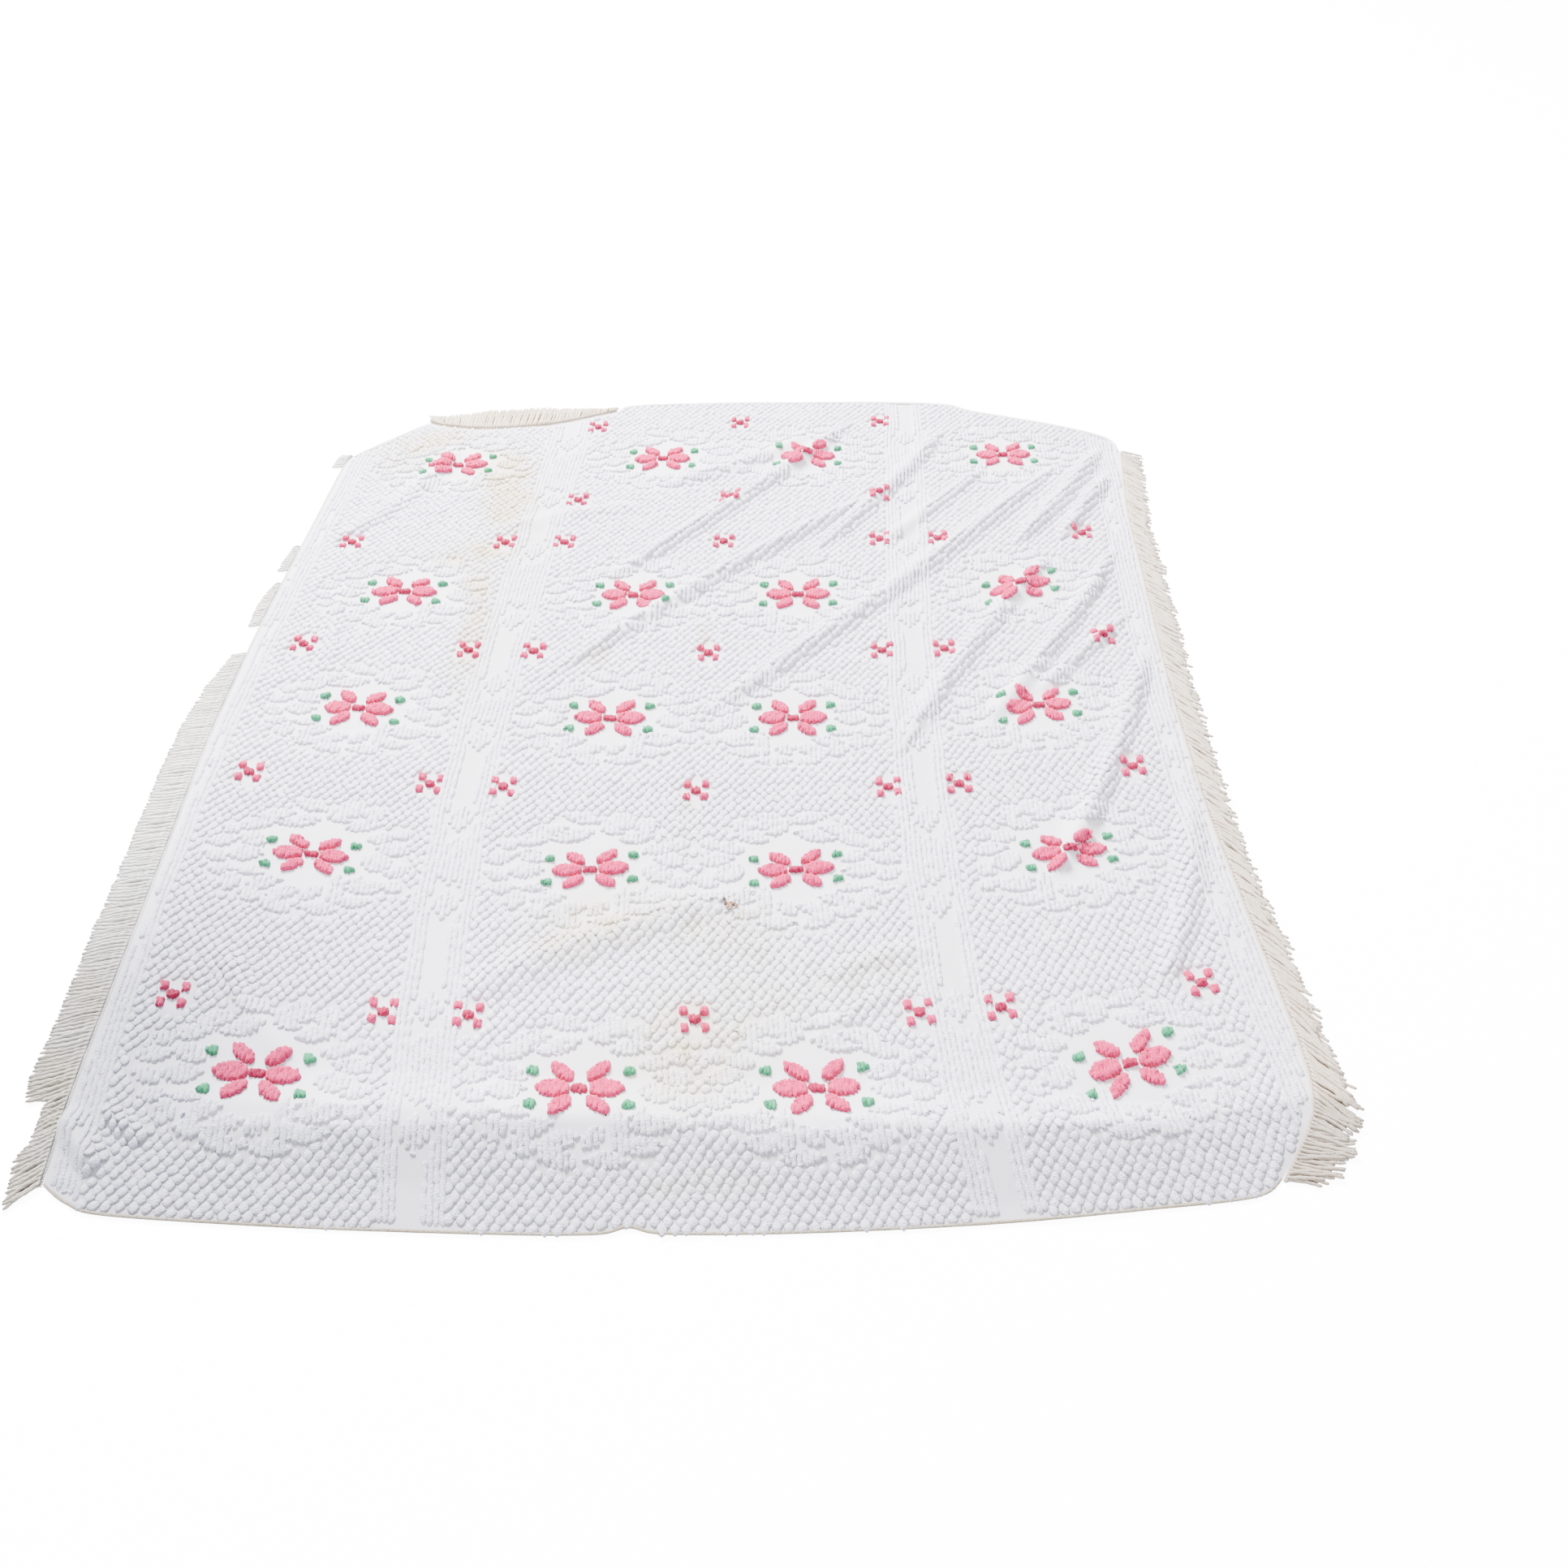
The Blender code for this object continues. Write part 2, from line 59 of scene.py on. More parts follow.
# %% The edge table
EDGE_RUNS = {
    # each trim, with the places x, y of the edge from where it starts
    "hem": ((-1.115, -1.243), (-1.059, -1.278), (-0.976, -1.299), (-0.644, -1.320), (-0.317, -1.332),
            (-0.130, -1.333), (-0.076, -1.321), (-0.010, -1.333), (0.247, -1.330), (0.568, -1.314),
            (0.839, -1.289), (1.006, -1.269)),
    "right fringe": ((1.057, -1.237), (1.094, -1.185), (1.130, -1.132), (1.151, -1.080), (1.157, -0.962),
                     (1.134, -0.622), (1.119, -0.350), (1.121, 0.050), (1.139, 0.469), (1.152, 0.750)),
    "rolled right": ((1.188, 1.040), (1.160, 1.118), (1.017, 1.190), (0.775, 1.274), (0.653, 1.322),
                     (0.268, 1.335), (-0.247, 1.329)),
    "foot fringe": ((-0.345, 1.290), (-0.490, 1.231), (-0.590, 1.207), (-0.740, 1.193), (-0.870, 1.212)),
    "rolled left": ((-0.925, 1.235), (-1.051, 1.118)),
    "left fringe": ((-1.120, 1.052), (-1.134, 0.980), (-1.150, 0.673), (-1.170, 0.250), (-1.172, -0.150),
                    (-1.150, -0.650), (-1.133, -1.050)),
}
EDGE, RUN_ROWS = [], {}
for run_trim, run_places in EDGE_RUNS.items():
    RUN_ROWS[run_trim] = (len(EDGE), len(EDGE) + len(run_places))
    EDGE += [(*place, run_trim) for place in run_places]



def spline(a, b, c, d, t):
    """Catmull-Rom through b and c."""
    bend = 2 * a - 5 * b + 4 * c - d
    twist = 3 * b - a - 3 * c + d
    return 0.5 * (2 * b + (c - a) * t + bend * t * t + twist * t ** 3)


def edge_line(first, last, step=0.004):
    """The edge from one row of EDGE on to another, in small steps."""
    count = len(EDGE)
    line = []
    for i in range(first, last if last > first else last + count):
        rows = [EDGE[(i + k) % count] for k in (-1, 0, 1, 2)]
        points = [np.array(row[:2]) for row in rows]
        if rows[0][2] != rows[1][2]:
            points[0] = points[1]
        if rows[2][2] != rows[1][2]:
            points[3] = points[2]
        pieces = max(2, round(float(np.linalg.norm(points[2] - points[1])) / step))
        line += [spline(*points, k / pieces) for k in range(pieces)]
    line.append(np.array(EDGE[last % count][:2]))
    return np.array(line)


def even_steps(line, count):
    """A line as count evenly spaced points."""
    lengths = np.concatenate(([0.0], np.cumsum(np.linalg.norm(np.diff(line, axis=0), axis=1))))
    places = np.linspace(0.0, lengths[-1], count)
    return np.stack([np.interp(places, lengths, line[:, axis]) for axis in (0, 1)], axis=1)


def run_line(trim, step):
    """The edge along one trim, as places about a step apart."""
    line = edge_line(*RUN_ROWS[trim])
    length = np.linalg.norm(np.diff(line, axis=0), axis=1).sum()
    return even_steps(line, max(8, round(length / step)))


OUTLINE = edge_line(0, len(EDGE))[:-1]
low_corner, high_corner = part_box("tufted_cloth")
SHIFT = np.array([(low_corner[k] + high_corner[k]) / 2 - (OUTLINE[:, k].min() + OUTLINE[:, k].max()) / 2
                  for k in (0, 1)])
print("edge points:", len(OUTLINE), "- the packed cloth is moved by", SHIFT.round(4))

# %% [markdown]
# ## Folds
# Pulled about on the ground, the cloth has soft ridges that fan out from its far right corner, and a low
# wave along the head. Each is one row: a bowed crest that fades out at both ends, with its own rise and its
# own reach to either side. A cosine gives a ridge the round back that soft cloth has, and the row's crease
# says how much of a straight slope, with a sharper crest, is mixed into it.

# %% The folds and the height of the cloth
FOLDS = (
    # x0, y0, x1, y1, bow, rise, right, left, crease
    (0.410, 1.240, -0.300, 0.440, -0.020, 0.0234, 0.040, 0.044, 0.30),
    (0.470, 0.840, -0.420, 0.040, 0.030, 0.0216, 0.038, 0.041, 0.30),
    (0.670, 1.170, 0.270, 0.570, -0.015, 0.0216, 0.036, 0.040, 0.30),
    (0.770, 0.950, 0.450, 0.590, 0.000, 0.0166, 0.034, 0.034, 0.30),
    (1.000, 0.980, -0.040, -0.100, -0.020, 0.0234, 0.043, 0.046, 0.30),
    (1.130, 1.060, 0.810, 0.580, -0.012, 0.0235, 0.040, 0.040, 0.30),
    (0.910, 0.540, 0.440, -0.220, 0.020, 0.0216, 0.040, 0.041, 0.30),
    (1.130, 0.920, 0.940, 0.600, 0.000, 0.0201, 0.034, 0.032, 0.30),
    (1.090, 0.570, 0.650, -0.130, -0.015, 0.0234, 0.038, 0.040, 0.30),
    (1.060, 0.280, 0.790, -0.010, 0.000, 0.0166, 0.032, 0.032, 0.30),
    (1.090, 0.170, 0.750, -0.580, -0.025, 0.0234, 0.040, 0.041, 0.30),
    (1.085, -0.330, 0.920, -0.850, -0.030, 0.0166, 0.038, 0.041, 0.30),
    (0.080, -0.620, -0.460, -0.860, 0.020, 0.0161, 0.063, 0.063, 0.45),
    (0.490, -0.750, 0.270, -0.820, 0.015, 0.0069, 0.032, 0.036, 0.45),
    (0.400, -0.840, 0.250, -0.950, 0.000, 0.0069, 0.027, 0.032, 0.45),
    (-0.960, -0.730, -0.740, -1.010, 0.010, 0.0103, 0.038, 0.038, 0.45),
    (-1.040, -1.080, 1.050, -1.150, 0.010, 0.0240, 0.135, 0.080, 0.90),
    (-0.800, 1.130, -1.080, 0.620, -0.050, 0.0161, 0.053, 0.042, 0.45),
    (-1.000, 0.440, -0.950, 0.100, 0.000, 0.0069, 0.027, 0.029, 0.45),
    (-0.220, 0.780, -0.620, 0.670, 0.015, 0.0092, 0.047, 0.053, 0.45),
    (0.280, 1.170, -0.180, 0.880, -0.030, 0.0166, 0.048, 0.050, 0.30),
    (-1.125, -1.100, -1.020, -1.215, 0.010, 0.0210, 0.030, 0.036, 0.60),
    (-1.060, -1.100, -0.960, -1.160, 0.000, 0.0140, 0.026, 0.030, 0.60),
)
FOLD_FADE = 0.22              # share of a fold over which each end fades out
FOLD_TIP = 0.25               # share of its reach that is left at its ends
CREST_POINTS = 13
BLEND = 4                     # folds that cross are summed as this power of their lifts
CLOTH_Z = 0.0016              # the flat cloth's face above the ground
HOLLOW, PUCKER = 0.0009, 0.0004
SMOOTH_ABOVE = 0.018          # a fold as high as this has no hollows


def off_segment(x, y, start, run):
    """For places x, y: the share of a straight run where it is nearest, and how far off it they lie."""
    s = np.clip(((x - start[0]) * run[0] + (y - start[1]) * run[1]) / (run @ run), 0, 1)
    return s, x - start[0] - run[0] * s, y - start[1] - run[1] * s


def one_fold(x, y, fold):
    """The lift of one fold at places x, y."""
    x0, y0, x1, y1, bow, rise, right, left, crease = fold
    start, end = np.array((x0, y0)), np.array((x1, y1))
    along = end - start
    sideways = np.array((along[1], -along[0])) / np.linalg.norm(along) * bow
    shares = np.linspace(0, 1, CREST_POINTS)
    crest = start + shares[:, None] * along + (4 * shares * (1 - shares))[:, None] * sideways
    lift = np.zeros_like(x)
    for k in range(len(crest) - 1):
        run = crest[k + 1] - crest[k]
        s, off_x, off_y = off_segment(x, y, crest[k], run)
        reach = np.where(run[0] * off_y - run[1] * off_x < 0, right, left)
        t = (k + s) / (len(crest) - 1)
        fade = np.sin(np.pi / 2 * np.clip(np.minimum(t, 1 - t) / FOLD_FADE, 0, 1))
        near = np.clip(np.hypot(off_x, off_y) / (reach * (FOLD_TIP + (1 - FOLD_TIP) * fade)), 0, 1)
        across = (1 - crease) * 0.5 * (1 + np.cos(np.pi * near)) + crease * (1 - near)
        lift = np.maximum(lift, rise * fade * across)
    return lift


def cloth_height(x, y):
    """The face of the cloth above the ground: its folds, joined softly, with faint hollows between."""
    total = np.zeros_like(x)
    for fold in FOLDS:
        total += one_fold(x, y, fold) ** BLEND
    hollows = np.sin(7.3 * x + 2.1 * np.sin(5.1 * y)) * np.sin(6.1 * y + 1.7 * np.sin(4.3 * x))
    puckers = np.sin(41 * x + 3 * np.sin(17 * y)) * np.sin(37 * y + 2 * np.sin(19 * x))
    lift = total ** (1 / BLEND)
    relief = HOLLOW * (1 + hollows) + PUCKER * (1 + puckers)
    return CLOTH_Z + lift + relief * np.clip(1 - lift / SMOOTH_ABOVE, 0, 1)


print("folds:", len(FOLDS), "- the highest stands", max(fold[5] for fold in FOLDS) * 1000, "mm up")

# %% [markdown]
# ## Stains of age
# The cotton has yellowed in soft-edged patches. A patch is one row of a table: its place, its two radii, how
# it is turned and how strong it is. Their sum is worked out for any place, so that the sheeting and every
# tuft standing on it can carry the same value in an attribute called stain.

# %% The stains
STAINS = (
    # x, y, across, along, turn, strength
    (-0.635, 0.94, 0.095, 0.155, 10, 1.00), (-0.60, 0.77, 0.080, 0.105, 10, 0.95),
    (-0.645, 0.43, 0.050, 0.060, 0, 0.50), (-0.90, 1.12, 0.160, 0.070, 25, 0.85),
    (-0.95, 0.98, 0.100, 0.060, 10, 0.30), (-0.65, 0.57, 0.140, 0.055, 15, 0.85),
    (-0.61, 0.24, 0.042, 0.240, 2, 0.80), (-0.28, 0.13, 0.028, 0.040, 0, 0.55),
    (-0.02, 0.21, 0.018, 0.050, 0, 0.42), (-0.20, -0.69, 0.150, 0.080, 20, 0.72),
    (0.06, -0.70, 0.130, 0.070, 5, 0.45), (-0.03, -0.40, 0.030, 0.090, 0, 0.32),
    (0.02, -0.99, 0.110, 0.110, 0, 0.50), (0.04, -1.25, 0.160, 0.040, 0, 0.30),
    (0.38, -0.80, 0.110, 0.045, 20, 0.30), (0.12, -0.86, 0.260, 0.110, 5, 0.24),
    (-0.02, -1.02, 0.200, 0.140, 0, 0.20),
)
# the line along the head's low ridge beyond which shade is painted on the cloth, as it slopes away from the
# light: its x, and its y
PAINTED_SHADE_FROM = ((-1.15, -0.90, -0.60, -0.22, -0.13, 0.10, 0.60, 0.85, 1.16),
             (-1.10, -1.13, -1.14, -1.129, -1.129, -1.160, -1.150, -1.130, -1.080))


def place_within(dx, dy, shape):
    """Shares of a shape's half length and half width at which dx, dy lie."""
    x, y, half_long, half_wide, turn = shape
    angle = math.radians(turn)
    u = ((dx - x) * math.cos(angle) + (dy - y) * math.sin(angle)) / half_long
    v = ((dy - y) * math.cos(angle) - (dx - x) * math.sin(angle)) / half_wide
    return u, v


def stain_at(x, y):
    """How stained the cotton is at places x, y, from 0 to 1."""
    total = np.zeros_like(x)
    ragged = 0.25 * np.sin(31 * x + 4 * np.sin(23 * y)) + 0.25 * np.sin(43 * y + 3 * np.sin(37 * x))
    for *patch, strength in STAINS:
        u, v = place_within(x, y, patch)
        total += strength * np.exp(-1.3 * np.hypot(u, v) ** 2.4) * (1 + ragged)
    return np.clip(total, 0, 1)


print("stains:", len(STAINS))

# %% [markdown]
# ## Small helpers
# Operators act on whatever is selected, so each step first selects only its own piece. Three attributes are
# written straight on to a mesh from the places of its points: stain; a second that says how much shade is
# painted on the cloth beyond the head's low ridge and towards its near left corner; and foot, which says how
# near a point is to the foot of the pile, where little light comes and shade is painted.

# %% Selecting pieces, and marking their points
GROUND_GAP = 0.0002           # the least height of any point


def new_piece(name, data):
    """An object for a mesh, curve, lamp or camera, in the scene."""
    piece = bpy.data.objects.new(name, data)
    bpy.context.scene.collection.objects.link(piece)
    return piece


def discard(pieces):
    """Remove what was only modelled to be copied."""
    for piece in pieces:
        bpy.data.objects.remove(piece, do_unlink=True)


def face_outward(merged=0.0):
    """Turn the active piece's faces outwards, once points nearer than merged are joined."""
    bpy.ops.object.mode_set(mode="EDIT")
    bpy.ops.mesh.select_all(action="SELECT")
    if merged:
        bpy.ops.mesh.remove_doubles(threshold=merged)
    bpy.ops.mesh.normals_make_consistent(inside=False)
    bpy.ops.object.mode_set(mode="OBJECT")


def select_only(piece):
    bpy.ops.object.select_all(action="DESELECT")
    piece.select_set(True)
    bpy.context.view_layer.objects.active = piece


def coordinates(piece):
    values = np.empty(len(piece.data.vertices) * 3)
    piece.data.vertices.foreach_get("co", values)
    return values.reshape(-1, 3)


def set_coordinates(piece, places):
    piece.data.vertices.foreach_set("co", np.ascontiguousarray(places).ravel())
    piece.data.update()


def painted_shade_at(x, y):
    """How much shade is painted on the cloth: beyond the low ridge along the head, and towards its near left
    corner, where less light falls.
    """
    ridge = np.interp(x, *PAINTED_SHADE_FROM)
    beyond = np.clip((ridge - y) / 0.014 + 0.5, 0, 1)
    left_side = np.exp(-((x + 1.12) / 0.38) ** 2 - ((y + 1.05) / 0.50) ** 2)
    return np.maximum(beyond * np.interp(x, (-1.0, 0.0, 1.0), (1.0, 0.55, 0.57)), 1.15 * left_side)


def mark(piece, label, values):
    layer = piece.data.attributes.new(label, "FLOAT", "POINT")
    layer.data.foreach_set("value", np.clip(values, 0, 1))


def mark_stains_and_shade(piece, soiled=0.0, pile=0.0):
    """Marks stains and painted shade. soiled: how dirty the whole piece is besides. pile: the height over
    which the shade painted at its foot fades out.
    """
    places = coordinates(piece)
    x, y = places[:, 0] - SHIFT[0], places[:, 1] - SHIFT[1]
    mark(piece, "stain", stain_at(x, y) + soiled * (1 + 0.4 * np.sin(19 * x + 31 * y)))
    # painted shade beyond the head's ridge and towards the near left corner
    mark(piece, "painted_shade", painted_shade_at(x, y))
    # painted shade at the foot of the pile, fading out over the pile's height
    if pile:
        mark(piece, "foot", 1 - (places[:, 2] - cloth_height(x, y)) / pile)


def settle(piece):
    """No point may lie under the ground."""
    places = coordinates(piece)
    places[:, 2] = np.maximum(places[:, 2], GROUND_GAP)
    set_coordinates(piece, places)


def triangles(piece):
    return sum(len(face.vertices) - 2 for face in piece.data.polygons)


print("helpers ready")

# %% [markdown]
# ## Cotton, worn soft
# Every yarn here is washed cotton: quite matt, faintly mottled, yellowed where it is stained, with a fine fuzz
# that a bump from noise gives. One node group mixes the colour and another makes the fuzz, and each material
# sets its own values on them, so that all the yarns age alike. The colour group also paints shade into the
# colour: beyond the head's ridge, towards the near left corner, at the foot of the pile and in small pits.

# %% The shared node groups
PLAIN = (1.0, 1.0, 1.0, 1.0)
MOTTLED = (0.30, 0.31, 0.36, 1.0)
# painted shade in the pile's small pits, placed by noise
PIT_SHADE = (0.55, 0.54, 0.60, 1.0)
# tints of painted shade: beyond the head's ridge, and at the foot of the pile
SHADES = {"painted_shade": (0.52, 0.53, 0.56, 1.0), "foot": (0.84, 0.83, 0.83, 1.0)}


def new_group(name, inputs, outputs):
    tree = bpy.data.node_groups.new(name, "ShaderNodeTree")
    for kind, label, value in inputs:
        socket = tree.interface.new_socket(label, in_out="INPUT", socket_type=kind)
        socket.default_value = value
    for kind, label in outputs:
        tree.interface.new_socket(label, in_out="OUTPUT", socket_type=kind)
    return tree, tree.nodes.new("NodeGroupInput"), tree.nodes.new("NodeGroupOutput")


def add_noise(tree, scale, detail=3.0):
    place = tree.nodes.new("ShaderNodeTexCoord")
    noise = tree.nodes.new("ShaderNodeTexNoise")
    noise.inputs["Scale"].default_value = scale
    noise.inputs["Detail"].default_value = detail
    tree.links.new(place.outputs["Object"], noise.inputs["Vector"])
    return noise


def add_math(tree, operation, first, second):
    node = tree.nodes.new("ShaderNodeMath")
    node.operation = operation
    node.use_clamp = True
    for socket, value in zip(node.inputs, (first, second)):
        if isinstance(value, (int, float)):
            socket.default_value = value
        else:
            tree.links.new(value, socket)
    return node.outputs[0]


def add_mix(tree, share, first, second, blend="MIX"):
    node = tree.nodes.new("ShaderNodeMix")
    node.data_type = "RGBA"
    node.blend_type = blend
    for label, value in (("Factor", share), ("A", first), ("B", second)):
        socket = [s for s in node.inputs if s.name == label and s.enabled][0]
        if isinstance(value, (int, float, tuple)):
            socket.default_value = value
        else:
            tree.links.new(value, socket)
    return [s for s in node.outputs if s.enabled][0]


def read_mark(tree, label):
    """The value that mark gave a piece's points under a label."""
    read = tree.nodes.new("ShaderNodeAttribute")
    read.attribute_name = label
    return read.outputs["Fac"]


def make_worn_colour_and_shade():
    inputs = (("NodeSocketColor", "Colour", PLAIN), ("NodeSocketColor", "Stain colour", PLAIN),
              ("NodeSocketFloat", "Mottle", 0.1), ("NodeSocketFloat", "Pit shade", 0.0))
    tree, given, made = new_group("worn cotton colour and painted shade", inputs, (("NodeSocketColor", "Colour"),))
    halves = [add_math(tree, "MULTIPLY", noise.outputs["Fac"], 0.5)
              for noise in (add_noise(tree, 9.0), add_noise(tree, 140.0, 2.0))]
    dim = add_math(tree, "MULTIPLY", add_math(tree, "ADD", *halves), given.outputs["Mottle"])
    shaded = add_mix(tree, dim, given.outputs["Colour"], MOTTLED)
    stained = add_mix(tree, read_mark(tree, "stain"), PLAIN, given.outputs["Stain colour"])
    colour = add_mix(tree, 1.0, shaded, stained, "MULTIPLY")
    # painted shade from the two shade attributes
    for label, tint in SHADES.items():
        shade = add_mix(tree, read_mark(tree, label), PLAIN, tint)
        colour = add_mix(tree, 1.0, colour, shade, "MULTIPLY")
    # painted shade in small pits of the pile, where the noise is low
    hollow = add_math(tree, "SUBTRACT", 0.50, add_noise(tree, 210.0, 2.0).outputs["Fac"])
    pit_shade = add_math(tree, "MULTIPLY", hollow, 4.0)
    pitted = add_math(tree, "MULTIPLY", pit_shade, given.outputs["Pit shade"])
    colour = add_mix(tree, pitted, colour, add_mix(tree, 1.0, colour, PIT_SHADE, "MULTIPLY"))
    tree.links.new(colour, made.inputs["Colour"])
    return tree


def make_fuzz():
    inputs = (("NodeSocketFloat", "Fineness", 700.0), ("NodeSocketFloat", "Depth", 0.5))
    tree, given, made = new_group("cotton fuzz", inputs, (("NodeSocketVector", "Normal"),))
    noise = add_noise(tree, 700.0, 2.0)
    tree.links.new(given.outputs["Fineness"], noise.inputs["Scale"])
    bump = tree.nodes.new("ShaderNodeBump")
    bump.inputs["Distance"].default_value = 0.0035
    tree.links.new(given.outputs["Depth"], bump.inputs["Strength"])
    tree.links.new(noise.outputs["Fac"], bump.inputs["Height"])
    tree.links.new(bump.outputs["Normal"], made.inputs["Normal"])
    return tree


WORN_COLOUR_AND_SHADE = make_worn_colour_and_shade()
FUZZ = make_fuzz()
print("groups:", WORN_COLOUR_AND_SHADE.name, "and", FUZZ.name)

# %% [markdown]
# ## The yarns
# White for the sheeting and the ground tufts, two pinks and a mint green for the flowers, two cords for the
# fringes, a worn yarn for the hem and two threads for the snag. They differ only in a few numbers, so a
# table holds them. Sheen gives the pale rim of brushed cotton.

# %% The materials
YARNS = {
    # name:            colour,               stain colour,      mottle, pit shade, fineness, depth, sheen
    "sheeting":       ((0.82, 0.80, 0.87), (0.93, 0.85, 0.62), 0.07, 0.00, 900.0, 0.20, 0.10),
    "white chenille": ((0.89, 0.88, 1.00), (0.92, 0.82, 0.57), 0.06, 0.60, 330.0, 1.00, 0.15),
    "pink chenille":  ((0.73, 0.022, 0.15), (0.97, 0.88, 0.80), 0.08, 1.00, 430.0, 0.90, 0.10),
    "rose chenille":  ((0.47, 0.004, 0.075), (0.97, 0.88, 0.80), 0.08, 0.90, 430.0, 0.90, 0.05),
    "mint chenille":  ((0.04, 0.35, 0.165), (0.95, 0.92, 0.75), 0.08, 0.90, 430.0, 0.90, 0.05),
    "cream cord":     ((0.68, 0.58, 0.49), (0.90, 0.84, 0.70), 0.16, 0.30, 420.0, 0.50, 0.10),
    "white cord":     ((0.76, 0.74, 0.72), (0.90, 0.84, 0.70), 0.16, 0.40, 420.0, 0.50, 0.10),
    "worn hem":       ((0.60, 0.52, 0.40), (0.80, 0.74, 0.62), 0.45, 1.00, 420.0, 0.60, 0.05),
    "brown thread":   ((0.14, 0.08, 0.05), (0.90, 0.90, 0.90), 0.30, 1.00, 420.0, 0.60, 0.05),
    "tan thread":     ((0.58, 0.32, 0.19), (0.90, 0.90, 0.90), 0.30, 1.00, 420.0, 0.60, 0.05),
}


def set_inputs(node, values):
    for label, value in values.items():
        node.inputs[label].default_value = value


def add_group(tree, group, values):
    node = tree.nodes.new("ShaderNodeGroup")
    node.node_tree = group
    set_inputs(node, values)
    return node


def make_yarn(name):
    colour, stain_colour, mottle, pit_shade, fineness, depth, sheen = YARNS[name]
    material = bpy.data.materials.new(name)
    material.use_nodes = True
    tree = material.node_tree
    shader = tree.nodes["Principled BSDF"]
    set_inputs(shader, {"Roughness": 0.92, "Sheen Weight": sheen, "Sheen Roughness": 0.6,
                        "Specular IOR Level": 0.2})
    worn = add_group(tree, WORN_COLOUR_AND_SHADE, {"Colour": (*colour, 1), "Stain colour": (*stain_colour, 1),
                                         "Mottle": mottle, "Pit shade": pit_shade})
    fuzz = add_group(tree, FUZZ, {"Fineness": fineness, "Depth": depth})
    tree.links.new(worn.outputs["Colour"], shader.inputs["Base Color"])
    tree.links.new(fuzz.outputs["Normal"], shader.inputs["Normal"])
    return material


MATERIALS = {name: make_yarn(name) for name in YARNS}
print("materials:", ", ".join(MATERIALS))

# %% [markdown]
# ## The sheeting
# The cloth is one thin sheet. A grid is bent into the edge's shape with a Coons patch: each of its rows and
# columns runs from side to side as a thread of the real cloth does. Every point then goes up on to the
# folds.

# %% The sheet of cloth
SHEET_COLUMNS, SHEET_ROWS = 190, 222


def coons(u, v, near, right, far, left):
    """A place inside four joined edge lines, from its shares of the way across and along."""
    def on(line, t):
        places = np.linspace(0, 1, len(line))
        return np.stack([np.interp(t, places, line[:, axis]) for axis in (0, 1)], axis=1)
    u2, v2 = u[:, None], v[:, None]
    sides = on(near, u) * (1 - v2) + on(far, u) * v2 + on(left, v) * (1 - u2) + on(right, v) * u2
    corners = (1 - u2) * ((1 - v2) * near[0] + v2 * far[0]) + u2 * ((1 - v2) * near[-1] + v2 * far[-1])
    return sides - corners


bpy.ops.object.select_all(action="DESELECT")
bpy.ops.mesh.primitive_grid_add(x_subdivisions=SHEET_COLUMNS, y_subdivisions=SHEET_ROWS, size=2)
sheet = bpy.context.object
sheet.name = "sheeting"
flat = coordinates(sheet)
near_side = even_steps(edge_line(*RUN_ROWS["hem"]), SHEET_COLUMNS)
right_side = even_steps(edge_line(*RUN_ROWS["right fringe"]), SHEET_ROWS)
far_edge = edge_line(RUN_ROWS["rolled right"][0], RUN_ROWS["left fringe"][0])
far_side = even_steps(far_edge, SHEET_COLUMNS)[::-1]
left_side = even_steps(edge_line(*RUN_ROWS["left fringe"]), SHEET_ROWS)[::-1]
laid_out = coons((flat[:, 0] + 1) / 2, (flat[:, 1] + 1) / 2, near_side, right_side, far_side, left_side)
heights = cloth_height(laid_out[:, 0], laid_out[:, 1])
set_coordinates(sheet, np.column_stack((laid_out + SHIFT, heights)))
bpy.ops.object.shade_smooth()
mark_stains_and_shade(sheet)
sheet.data.materials.append(MATERIALS["sheeting"])
print("sheeting:", triangles(sheet), "triangles")

# %% [markdown]
# ## The pattern
# The pattern is drawn square to the cloth, and the cloth then lies a little askew: it drifts sideways and
# bows. Two short polynomials, across and along, say how far each place has moved. Large flowers stand in
# rows of four, small ones in rows of three or seven, and needles run lengthwise, 11 mm apart.

# %% The pattern's rows, columns and drift
NEEDLE = 0.4375 / 40          # from one needle to the next
LARGE_COLUMNS = (-0.816, -0.219, 0.219, 0.816)
LARGE_ROWS = (-1.060, -0.543, -0.083, 0.383, 1.035)
CENTRE_COLUMNS = (-0.4375, 0.0, 0.4375)
CENTRE_ROWS = (0.825, 1.226)
SMALL_COLUMNS = (-1.010, -0.600, -0.4375, 0.0, 0.4375, 0.600, 1.010)
SMALL_ROWS = (-0.910, -0.316, 0.151, 0.617)
PATTERN_END = 1.333
MOVED_ACROSS = ((-0.0099, 0.0284, 0.0698, -0.0383), (-0.0013, -0.0017, -0.0061),
                (-0.0185, 0.0002, -0.0034), (0.0065,))
MOVED_ALONG = ((-0.0043, -0.0043, -0.0034, 0.0017), (-0.0084, 0.0060, 0.0291),
               (0.0561, -0.0577, -0.0519), (0.0080,))

LARGE_FLOWERS = [(x, y) for y in LARGE_ROWS for x in LARGE_COLUMNS]
SMALL_FLOWERS = [(x, y) for y in CENTRE_ROWS for x in CENTRE_COLUMNS]
SMALL_FLOWERS += [(x, y) for y in SMALL_ROWS for x in SMALL_COLUMNS]


def moved(table, x, y):
    """The sum of a table's numbers, row by row with powers of x and along each row with powers of y."""
    s = y / PATTERN_END
    return sum(value * x ** i * s ** j for i, row in enumerate(table) for j, value in enumerate(row))


def laid(x, y):
    """Where a place of the pattern lies."""
    return x + moved(MOVED_ACROSS, x, y), y + moved(MOVED_ALONG, x, y)


